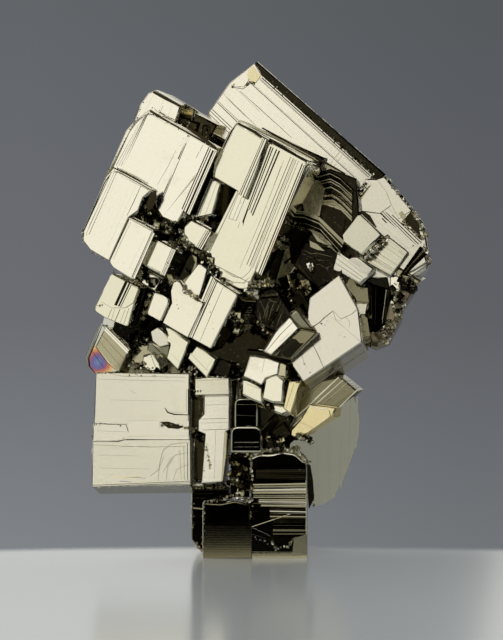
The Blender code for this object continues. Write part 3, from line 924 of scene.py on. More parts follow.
rainbowLooks = dict(brightLooks, film=oxideFilm)
# the second finish, near-black, is painted shade; the fifth, a dimmed greenish tarnish, is partly painted shade
finishes = [
    pyriteFinish("polished pyrite", brightLooks),
    pyriteFinish("painted shade pyrite", paintedShadeLooks),
    pyriteFinish("broken pyrite", brokenLooks),
    pyriteFinish("tarnished pyrite", rainbowLooks),
    pyriteFinish("olive tarnish and painted shade pyrite", oliveTarnishAndShadeLooks),
    pyriteFinish("golden pyrite", goldenLooks),
]
print("finishes ready")


# the crystals, in the specimen's own mm; their near-black and dimmed tarnish finishes are painted shade

upperLeftCubes = {"seed": 3, "crystals": [
    grown((-19.2, 2, 89), upperTurn,
        [(-2.4, 4.2), (3.9, 3.9), (4.5, -0.1), (0.4, -3.4), (-3.5, -4), (-3.9, 0.3), (-3.4, 3)], 13, tone=0.05,
        # the wide near-black seam along the top edge is painted shade where the rounded shoulder turns from the
        # light
        cuts=[(0.12, paintedShade, 0.6, 0.7, 3.2, 0.6, 4.8, 0.7), (0.6, paintedShade, -2.5, 3.6, 0.3, 3.6, 4.3, 3.6),
        (0.12, oliveTarnishAndShade, -0.9, 0.9, 0.2, 0.5, 0.1, -0.7), (0.1, oliveTarnishAndShade, 0.6, 2, 0.7, 0.5),
        (0.12, oliveTarnishAndShade, -3.8, -0.4, -3.6, -3)], edges=(0.7, 0.25, 0.18, 0.3), sideRise=0.16, sideDensity=3.4,
        density=0.5, relief=0.4,
        chips=[(-1.4, 1, 1.1, 0.7, 6, 0.1, 0.3, paintedShade, oliveTarnishAndShade), (-3.3, -2.6, -3.3, 1.5, 8, 0.1, 0.3, bright, oliveTarnishAndShade)]),
    grown((-14.2, 4, 88.4), (24, 14, 4),
        [(-1.3, 2.2), (-0.3, 3.1), (1.9, 2.7), (2.3, 0.9), (2.4, -1.1), (1, -1.7), (-0.6, -1.5)], 10, slot=oliveTarnishAndShade,
        density=0, fans=[(-1.3, 1.8, 1.7, 2.6, -0.5, -1.2, 2.4, -1.1, 8, 0.35, 0.45, oliveTarnishAndShade, golden, paintedShade, golden)],
        chips=[(-1, 2.1, 1.2, 2.6, 26, 0.15, 0.6, golden, oliveTarnishAndShade, paintedShade),
        (0.4, -1.3, 2.5, -0.9, 20, 0.15, 0.5, oliveTarnishAndShade, paintedShade)]),
    grown((-24.3, -1.2, 82.9), upperTurn,
        [(0.6, 7.9), (3, 7.7), (2.5, -9.2), (-1.6, -8.6), (-1.6, -4.6), (-1.9, 1.9), (-1.1, 4.8)], 16, density=0,
        fans=[(-1.1, 4.4, -1.4, -8.9, 0.5, 6.7, -0.5, -5.3, 7, 0.09, -0.3, bright, bright, oliveTarnishAndShade)],
        chips=[(-1.1, 4.9, -1.4, -8, 24, 0.1, 0.35, bright, oliveTarnishAndShade)]),
    grown((-18, -3, 78.8), upperTurn, [(-7.2, 8.2, 1.6), (9, 7.9, 0.2), (8.5, -9.2, 0.5), (5.2, -9.4), (2.6, -8),
        (0.6, -5.4), (-8.9, -5.4), (-9.1, 2.6), (-8.6, 5.4, 1)], 24, tone=0, edges=(0.65, 0.25, 0.18, 0.45),
        density=0.25, relief=0.35,
        fans=[(-7.6, 6.5, -8.2, -4.5, -6.9, 7.9, -6.7, -4.2, 3, 0.06, -0.2, bright),
        (1.6, 3.7, 1.4, -4.6, 2.4, 3.9, 2.3, -4.8, 1, 0.03, 0.12, bright)],
        grooves=[(7.2, 7.2, 7.9, -6.2, 9.4, 6.9, 10.1, -6.5, 5, 0.05, 0.5),
        (2.1, 7.5, 3, -5.8, 2.8, 7.5, 3.7, -5.9, 2, 0.04, 0.4)],
        # the wide near-black seams along the top edge are painted shade where the rounded shoulder turns from the
        # light
        cuts=[(0.55, paintedShade, -6.8, 8.2, 9.3, 7.5), (0.7, paintedShade, 1.3, 8.7, 5, 8.3, 8.8, 7.7),
        (0.1, oliveTarnishAndShade, -7.4, 6.2, -7.3, 0, -7.2, -4.2), (0.12, paintedShade, 6.1, 7.1, 6.1, 5.7),
        (0.12, paintedShade, 6, 5.5, 6, 4.1), (0.09, oliveTarnishAndShade, 1.6, 3.7, 1.6, -0.3, 1.3, -4.2),
        (0.09, paintedShade, 1.8, 6.5, 2.8, 5.9), (0.09, paintedShade, 1.9, 5, 3, 4.2), (0.09, paintedShade, 1.9, 3.4, 3, 2.7),
        (0.09, paintedShade, 2, 1.9, 3, 1.3), (0.08, paintedShade, 2, 0.6, 3, 0), (0.22, paintedShade, -7.7, -4.9, -3.5, -5, 0.6, -5.2)],
        chips=[(-7.9, -5, 0.7, -5.4, 40, 0.1, 0.4, oliveTarnishAndShade, paintedShade, bright),
        (6.1, -10, 8.2, -9, 14, 0.1, 0.4, oliveTarnishAndShade, bright), (-6.7, 8, 8.7, 7.4, 36, 0.08, 0.3, oliveTarnishAndShade, bright, paintedShade),
        (-0.5, 4.9, 8.7, -6.1, 5, 0.06, 0.14, oliveTarnishAndShade)]),
    grown((-26.9, -3.5, 68.5), adjusted(upperTurn, roll=-2), [(-4.4, 8.1, 2), (4.6, 7.6, 0.3), (3.6, 5.4),
        (3.8, 2.6), (2.6, 0.6), (2.6, -8.9), (-1.9, -8.6), (-4, -7.6), (-4.8, -6.9, 0.5), (-5.1, -5.3),
        (-5.3, 5.4, 1)], 18, tone=0.08, edges=(0.4, 0.25, 0.18, 0.5), density=0.25, relief=0.35,
        plates=[([(5.4, 7.9), (6.3, 6.4), (6.2, 4.3), (5.7, 3.4), (4.8, 4.4), (4.6, 6.7)], 0.1, paintedShade, sharpSlopes)],
        fans=[(-4.6, 7.3, -4.8, -6, -3, 7.8, -2.8, -5.9, 3, 0.06, -0.2, bright)],
        cuts=[(0.13, paintedShade, 2.2, 7.3, 2.2, 4, 2.1, 0.7), (0.1, oliveTarnishAndShade, -4.1, 8.1, -4.2, 4.8, -4.1, -4.1, -3.9, -6.4),
        (0.08, oliveTarnishAndShade, -3.1, 7.9, -3.2, -3), (0.25, paintedShade, -4.7, 8.3, -1.2, 8.2, 1.9, 8)],
        chips=[(-4.8, -5.5, -4.1, -7.9, 16, 0.1, 0.4, oliveTarnishAndShade, bright),
        (4.5, 4, 6.3, 3.1, 24, 0.15, 0.6, oliveTarnishAndShade, golden, paintedShade),
        (-1.9, -8.8, 2.4, -9, 12, 0.08, 0.3, oliveTarnishAndShade, bright)]),
    grown((-23.8, -4.3, 62.1), upperTurn,
        [(-3.1, 5.3, 0.4), (2.7, 5.3, 0.3), (3.3, -5.7, 0.3), (-1.8, -5.4, 0.8), (-2.9, -4.6, 0.4)], 16, tone=0.1,
        density=0.25, relief=0.35, grooves=[(2.1, 4.6, 2.5, -5.4, 3.1, 4.5, 3.6, -5.3, 3, 0.05, 0.4)],
        cuts=[(0.1, paintedShade, -2.9, 4.3, -2.9, -0.1, -2.8, -3.9), (0.08, oliveTarnishAndShade, -2.4, 4.3, -2.4, -0.1, -2.2, -4),
        (0.25, paintedShade, -3, 5.1, -0.1, 5.3, 2.9, 5)], chips=[(-2.9, 5.4, 2.7, 5.3, 20, 0.08, 0.3, oliveTarnishAndShade, bright)]),
    grown((-8.3, -2.6, 72.1), upperTurn, [(-1.6, 3.6), (0.8, 3.5), (2, -2.8), (-1, -5.2)], 12, density=0.3,
        relief=0.4, cuts=[(0.12, paintedShade, -1, 3.3, -0.2, -4.4), (0.09, oliveTarnishAndShade, 0, 3.3, 0.8, -3.6)]),
    grown((-6.2, -2.2, 71.6), upperTurn, [(2.6, 3.1), (4.6, 2.9), (5, -2.4), (3.1, -2.7)], 12, density=0.3,
        relief=0.4, cuts=[(0.1, paintedShade, 3.7, 2.7, 4.1, -2.4)]),
    grown((-13.5, 3.5, 86.4), adjusted(upperTurn, roll=-10, yaw=-8), (5, 3.6), 8, slot=paintedShade, density=0.3),
    grown((-8.9, 3.4, 85.2), (8, -6, 4), [(-1.2, 1.6, 0.5), (0.8, 2, 0.6), (1, -2, 0.6), (-0.8, -1.8, 0.5)], 6,
        slot=paintedShade, density=0.6),
    grown((-9.4, 1.6, 80.6), adjusted(upperTurn, roll=6), (3.4, 2), 8, slot=oliveTarnishAndShade, lines="across", density=2),
], "rubble": [
    ((-18, 0.5, 69.5), (-15.6, 0.5, 64), 50, (0.4, 1.5), upperTurn, (0.5, 0.8, 0.5), (paintedShade, oliveTarnishAndShade, broken)),
    ((-9.2, 3.6, 86.5), (-8.2, 3.6, 83), 20, (0.4, 1.2), upperTurn, (0.5, 0.8, 0.5), (paintedShade, oliveTarnishAndShade)),
    ((-22.3, -1, 68.4), (-15.9, -1, 65.2), 90, (0.3, 1.2), upperTurn, (0.5, 0.8, 0.5),
        (paintedShade, oliveTarnishAndShade, oliveTarnishAndShade, broken)),
    ((-16.7, -0.5, 68.4), (-8.7, -0.5, 67.2), 90, (0.25, 0.9), upperTurn, (0.5, 0.8, 0.5),
        (paintedShade, oliveTarnishAndShade, oliveTarnishAndShade, broken)),
    ((-15, -2, 69.1), (-11.1, -2, 67.7), 40, (0.25, 0.8), upperTurn, (0.4, 0.5, 0.6), (oliveTarnishAndShade, bright, paintedShade)),
]}

middleCubes = {"seed": 5, "crystals": [
    grown((-11.2, -3, 64.8), upperTurn,
        [(-2.7, 0.1), (-1.9, 2.3), (2.1, 2.1), (3.2, 1.7), (2.9, -2.2), (1.6, -2.2), (-1.8, -1.9)], 12, density=0.2,
        relief=0.4, sideDensity=3.4, sideRise=0.14,
        grooves=[(1.4, 1.7, 1.1, -2.2, 3, 1.7, 2.8, -2.3, 4, 0.06, 0.4)], cuts=[(0.2, paintedShade, -1.8, 2.1, 1.9, 2)],
        chips=[(-3.2, -0.6, -1.1, -2, 24, 0.2, 0.7, bright, oliveTarnishAndShade, broken),
        (-1.9, 2.3, 2.1, 2.1, 14, 0.1, 0.3, oliveTarnishAndShade, bright)]),
    grown((-18.9, -3.5, 60.3), upperTurn, [(-1.9, 3.1, 1), (2.2, 3.1, 1), (2.9, 2.4, 0.5), (2.9, -2.8, 0.4),
        (1.4, -3, 0.5), (-1.9, -3, 1.4), (-2.6, -1, 0.6)], 12, tone=0.4, edges=(0.5, 0.25, 0.4, 0.5), density=0.2,
        relief=0.4, grooves=[(1.8, 2.7, 2.3, -2.8, 3.1, 2.9, 3.4, -2.7, 4, 0.06, 0.45)],
        cuts=[(0.3, paintedShade, -1.6, 3, 1.7, 2.9), (0.09, oliveTarnishAndShade, -1.1, 2.8, -0.9, -2.5)],
        chips=[(2.7, 0, 5.1, -1, 20, 0.1, 0.5, oliveTarnishAndShade, paintedShade)]),
    grown((-20, -1, 55.5), upperTurn, [(-1.8, 1.4), (1.8, 1.3), (1.7, -1.5), (-1.7, -1.4)], 10, density=0.2,
        relief=0.4),
    grown((-26.6, -2, 51.7), adjusted(upperTurn, roll=-3), [(-3.4, 4.4, 1), (3.1, 4.1, 0.4), (3.7, -1.1),
        (4.2, -4.2, 0.6), (-0.9, -4.5), (-3.9, -4.1, 1)], 15, tone=0.95, density=0.1, relief=0.4,
        plates=[([(-3.2, 4.1), (3.1, 3.7), (3.3, 0.7), (2.2, -0.9), (-0.4, -2.1), (-3, -1.9), (-3.5, 0.7)], 0.3)],
        bands=[(-0.1, 4, -0.2, -1.3, 1.5, 3.8, 1.3, -1.1, [(0, 0.31), (0.1, 0.36), (0.16, 0.32), (0.36, 0.32),
        (0.4, 0.36), (0.56, 0.36), (0.6, 0.32), (0.74, 0.32), (0.78, 0.36), (0.9, 0.36), (1, 0.31)],
        [bright, paintedShade, paintedShade, paintedShade, bright, paintedShade, paintedShade, paintedShade, bright, oliveTarnishAndShade])],
        cuts=[(0.14, paintedShade, -0.4, -2.3, -0.4, -4.2), (0.1, paintedShade, 0.2, -2, 0.4, -4.3),
        (0.22, paintedShade, 1.2, -1.6, 1.2, -4.2), (0.1, paintedShade, 2.2, -1.3, 2.3, -4.1), (0.14, oliveTarnishAndShade, 2.8, -0.6, 3.1, -4),
        (0.25, paintedShade, -3.1, 4.4, 3, 4)],
        chips=[(-3.9, -3.6, -2.3, -2, 16, 0.1, 0.35, oliveTarnishAndShade, bright),
        (-3.4, 4.5, 3.3, 4.2, 26, 0.1, 0.35, oliveTarnishAndShade, bright, paintedShade)]),
    grown((-22, -0.4, 50.4), (28, 18, -2), [(-2.4, 3.3), (0.4, 3.4), (1.2, 0.6), (1.6, -3.9), (-0.3, -5.3)], 10,
        slot=paintedShade, density=0,
        fans=[(-1.8, 3.1, -0.2, -4.6, 0.3, 3.3, 1.4, -4, 5, 0.3, 0.5, bright, paintedShade, oliveTarnishAndShade, paintedShade)],
        chips=[(0.6, 2.6, 1.5, -2, 40, 0.2, 0.8, oliveTarnishAndShade, paintedShade, broken)]),
    grown((-18.8, -2, 50.3), adjusted(upperTurn, roll=-5),
        [(-1.9, 2.5, 0.6), (0.6, 2.7, 1.2), (2.1, 2.1, 1), (1.9, -2.5, 0.3), (-1.7, -2.3, 0.6)], 12,
        edges=(0.4, 0.35, 0.2, 0.4), density=0.2, relief=0.4),
    grown((-13.8, -3, 48.6), upperTurn, [(-3.1, 1.1), (-4.4, 3.1), (-4.7, 5), (-3.8, 5.9), (-2.6, 5.4), (-1.8, 4.2),
        (-0.2, 4.4), (1.8, 4.1), (3, 4.4), (3.2, -3.5), (-3, -3.3)], 16, tone=0.5, density=0.15, relief=0.4,
        chips=[(-2.1, 4.5, 1.8, 4.1, 40, 0.1, 0.45, bright, oliveTarnishAndShade, golden),
        (-5.1, 4.3, -3.6, 6, 14, 0.15, 0.4, bright, oliveTarnishAndShade), (-4.6, 4.3, -0.7, 0.3, 8, 0.06, 0.2, oliveTarnishAndShade)]),
    grown((-10.8, -1.8, 55.6), upperTurn,
        [(-1.3, 3.3), (0.9, 3.1), (2.1, -3.2), (0.5, -3.4), (-1.7, -3.1), (-2.4, -2.2)], 12, density=0.2,
        relief=0.4, chips=[(-2.1, -2, -1.3, -3.4, 10, 0.1, 0.4, oliveTarnishAndShade, bright)]),
    grown((-8.6, 0.2, 54), upperTurn, (2.4, 8), 9, slot=paintedShade, density=0.2),
    grown((-7.8, -4, 48.7), upperTurn, [(-3.2, 6.6), (3, 5.9, 0.5), (3, -6.2, 0.4), (-2.9, -6.2)], 18, tone=0.6,
        edges=(0.4, 0.3, 0.18, 0.22), density=0.15, relief=0.4,
        grooves=[(-3.7, 6.7, -2.8, -5.8, -2.4, 6.3, -1.9, -6.2, 3, 0.06, 0.4)],
        cuts=[(0.3, paintedShade, -2.1, 6.2, -1.8, -0.2, -1.5, -6.2), (0.1, paintedShade, -0.5, 5.8, -0.2, 0.2, 0.2, -5.8),
        (0.2, paintedShade, -2.7, 6.5, 2.8, 6)],
        chips=[(-3, 7, 2.8, 6, 24, 0.1, 0.35, bright, oliveTarnishAndShade), (-2.1, 2.2, 1.9, -2.5, 5, 0.06, 0.2, oliveTarnishAndShade)]),
    grown((-13.6, 1, 57.6), upperTurn, [(-3.3, 3.8), (1.3, 4), (2.5, 1.3), (2.1, -2.5), (-1.5, -4.1), (-3.4, -1.9)],
        9, slot=oliveTarnishAndShade, tone=0.8, density=0.2,
        plates=[([(-2.4, 3.5), (-0.3, 3.9), (1.4, 2.5), (1.7, 0), (0.7, -2.1), (-1.1, -2.6), (-2.4, -1.4),
        (-2.9, 1.2)], 0.2, paintedShade, sharpSlopes)]),
], "rubble": [
    ((-16, -1, 60.5), (-12.5, -1, 66), 30, (0.4, 1.2), upperTurn, (0.5, 0.8, 0.5), (paintedShade, oliveTarnishAndShade, broken)),
    ((-13.5, -1, 63.6), (-7.9, -1, 59.2), 110, (0.3, 1.2), upperTurn, (0.5, 0.8, 0.9),
        (paintedShade, oliveTarnishAndShade, oliveTarnishAndShade, broken)),
    ((-9.1, -1.4, 59.2), (-5.1, -1.4, 54.8), 70, (0.3, 1.1), upperTurn, (0.5, 0.8, 0.6), (paintedShade, oliveTarnishAndShade, bright)),
    ((-7.5, 0, 67.2), (-6.5, 0, 61.6), 50, (0.4, 1.3), upperTurn, (0.8, 0.8, 0.8), (paintedShade, paintedShade, oliveTarnishAndShade)),
    ((-16.2, -2, 62.9), (-14.2, -2, 61.5), 40, (0.2, 0.9), upperTurn, (0.5, 0.6, 0.5), (bright, oliveTarnishAndShade, paintedShade)),
    ((-22.5, -1.2, 57), (-16, -1.2, 53), 30, (0.5, 1.3), upperTurn, (0.5, 0.8, 0.5), (paintedShade, paintedShade, oliveTarnishAndShade)),
    ((-3.9, -0.6, 52.4), (-2.3, -0.6, 45.6), 60, (0.4, 1.3), upperTurn, (0.6, 0.8, 0.9), (paintedShade, paintedShade, oliveTarnishAndShade)),
]}

longFrontCube = {"seed": 7, "crystals": [
    grown((1, -4, 69.3), adjusted(upperTurn, roll=-1), (10.4, 27.1), 9, tone=0.85, density=0.2, relief=0.3,
        grooves=[(-3.7, 12.7, -2.4, -0.1, -0.9, 12.7, -0.2, -1.3, 4, 0.06, 0.5),
        (-3.3, 9.6, -2.4, -2.3, -2.6, 9.5, -1.3, -3.6, 1, 0.04, 0.5),
        (1.2, 12.6, 2.6, -10.5, 3.4, 12.6, 4.9, -10.5, 5, 0.04, 0.2),
        (3.7, 12.5, 5.2, -10.8, 5.2, 12.3, 6.8, -11.1, 3, 0.06, 0.45)],
        # the wide near-black seam along the top edge is painted shade where the rounded shoulder turns from the
        # light
        cuts=[(0.75, paintedShade, -11.6, 14, -3, 13.7, 5.4, 13.1), (0.08, oliveTarnishAndShade, 0.6, 11.4, 1.6, -1.7, 2, -11.7),
        (0.22, rainbow, 5.5, 1.1, 5.9, -2.9, 6, -6.9),
        (0.1, oliveTarnishAndShade, -0.5, -14.9, 1.8, -14.9, 3.9, -14.1, 4.6, -12.4), (0.09, paintedShade, 0.6, 10.1, 1.2, 3.8),
        (0.08, oliveTarnishAndShade, -0.7, -13.7, 1.7, -13.8, 3.4, -13.2, 4.1, -11.3, 3.9, -5.4),
        (0.09, oliveTarnishAndShade, -4.1, -3.6, -4, -1.3), (0.09, paintedShade, -2.1, -3.5, -1.9, -4.7),
        (0.14, paintedShade, -1.6, -1.7, -1.2, -3.9)],
        chips=[(4.9, 12.8, 7.4, 12.3, 30, 0.2, 0.7, bright, bright, golden),
        (-3.6, 0.6, -4.1, -3.1, 6, 0.06, 0.2, oliveTarnishAndShade, bright)]),
    grown((-1.9, -4.9, 79.3), adjusted(upperTurn, roll=2), [(-4.9, 6.2), (2.6, 6.2), (3.6, 0.4), (4.4, -6.4),
        (2, -5.9), (-4, -5.8), (-5, -3.1), (-5.3, 4)], 12, edges=(0.75, 0.25, 0.3, 0.8), density=0.15, relief=0.3,
        # the wide near-black seam along the top edge is painted shade where the rounded shoulder turns from the
        # light
        cuts=[(0.55, paintedShade, -4.3, 6, -0.8, 6.1, 2.8, 5.8), (0.1, oliveTarnishAndShade, -4.4, 4, -4.1, -2.2)],
        grooves=[(1.4, 5.9, 2.5, -6.1, 2.6, 5.9, 3.9, -6.4, 3, 0.04, 0.35)]),
    grown((0.5, -3.2, 68.4), upperTurn,
        [(-5.7, 14.4), (5.7, 14.4), (5.7, -13.6, 1.2), (4, -14.4, 0.5), (-5.7, -14.4)], 14, density=0.3,
        relief=0.3),
    grown((3.4, 0.6, 80.8), upperTurn, (17.6, 6.8), 14, edges=(0.4, 0.25, 0.18, 0.22), density=0.2, slot=oliveTarnishAndShade,
        frontSlot=bright, cuts=[(0.5, paintedShade, -3.6, 4.1, 8.1, 3.8, 15.9, 3.5), (0.3, oliveTarnishAndShade, -1.6, 3.7, 9.7, 3.3)]),
], "rubble": []}

tiltedPlate = {"seed": 9, "lines": "across", "crystals": [
    # a backing plate whose front, showing past the plate in front, is near-black as painted shade
    grown((7.2, 9.9, 86.3), plateTurn, [(-14, 6.4), (21.2, 6.6), (20.2, 1.5), (8.7, -4.4), (-9, -9.4),
        (-13.9, -7.2), (-14.2, -0.6)], 10, edges=(0.4, 0.25, 0.18, 0.22), density=1, relief=0.5, frontSlot=paintedShade),
    grown((7.2, 9, 86.3), plateTurn, [(-14.1, 5.7), (-11.3, 4.9), (10.6, 4.6), (19.3, 4.7), (20.2, 1.5),
        (8.7, -4.4), (-9, -10.4), (-14.4, -8.2), (-15.2, -0.6)], 9, tone=0.1, edges=(0.25, 0.25, 0.18, 0.22),
        density=0.15, relief=0.3,
        plates=[([(-13.9, 5.1), (-11.3, 4.6), (-11.1, 2.9), (-12.9, 2.4), (-14, 3.6)], 0.35, golden, sharpSlopes),
        ([(-14.2, 1.8), (-13.6, 3.2), (-12.5, 2.3), (-12.4, 0.7), (-14.1, -0.8)], 0.5, bright, sharpSlopes),
        ([(-3.2, -2.9), (4.2, -0.7), (16.4, 1.6), (16, 0.2), (5.7, -2.4), (-1.5, -4.1)], 0.05, oliveTarnishAndShade, sharpSlopes)],
        grooves=[(-11.1, 3.8, 19, 3.6, -10.8, 5, 19, 4.7, 4, 0.05, 0.4),
        (-12.5, 1.7, 16.5, 1.4, -12.3, 2.4, 17, 2.1, 2, 0.03, 0.25),
        (-14.3, -6.7, -5.9, -6.9, -14.1, -8.2, -5.8, -8.5, 3, 0.05, 0.35),
        (-14.5, -4.7, -5.2, -4.9, -14.4, -5.4, -5.2, -5.8, 2, 0.04, 0.3),
        (-2.7, -2.8, 16.3, 1.7, -2.1, -4.1, 15.8, -0.3, 5, 0.06, 0.6)],
        cuts=[(0.12, paintedShade, -12.5, -0.5, -6.4, -0.5, 1.9, -0.6), (0.1, paintedShade, -13.7, -3.2, -9.9, -3.4, -5.2, -3.6),
        (0.09, oliveTarnishAndShade, -14.8, -3.1, -12.1, -3.4, -8, -3.6), (0.09, oliveTarnishAndShade, -14.8, -0.6, -6.5, -1),
        (0.12, oliveTarnishAndShade, 11.2, 4.3, 11.1, 2.9, 11.3, 0.9), (0.08, oliveTarnishAndShade, 11.9, 4.4, 12, 2.8, 12.2, 0.8),
        (0.07, oliveTarnishAndShade, -8.4, 1.7, 2.1, 1.7, 10.2, 1.8), (0.12, paintedShade, -14.4, 1.4, -12.5, 1.4, -11.7, 3.2),
        (0.14, paintedShade, -14.3, -1, -12.3, 0.2, -11.9, 1.9), (0.1, paintedShade, -14, 3.6, -12.6, 2.7),
        (0.1, paintedShade, -11.8, 4.2, -5.1, 4.1, 5.4, 4.1)],
        chips=[(-14.4, -0.8, -11.2, 3, 40, 0.15, 0.6, golden, bright, oliveTarnishAndShade),
        (-11.1, 4.8, -0.7, 4.7, 24, 0.1, 0.35, bright, paintedShade, oliveTarnishAndShade),
        (-0.7, 4.7, 10.4, 4.7, 40, 0.1, 0.4, bright, paintedShade, oliveTarnishAndShade),
        (10.4, 4.7, 19, 4.7, 50, 0.12, 0.5, bright, paintedShade, oliveTarnishAndShade), (-1, -1, 0.7, 3.2, 4, 0.06, 0.14, oliveTarnishAndShade)]),
], "rubble": []}

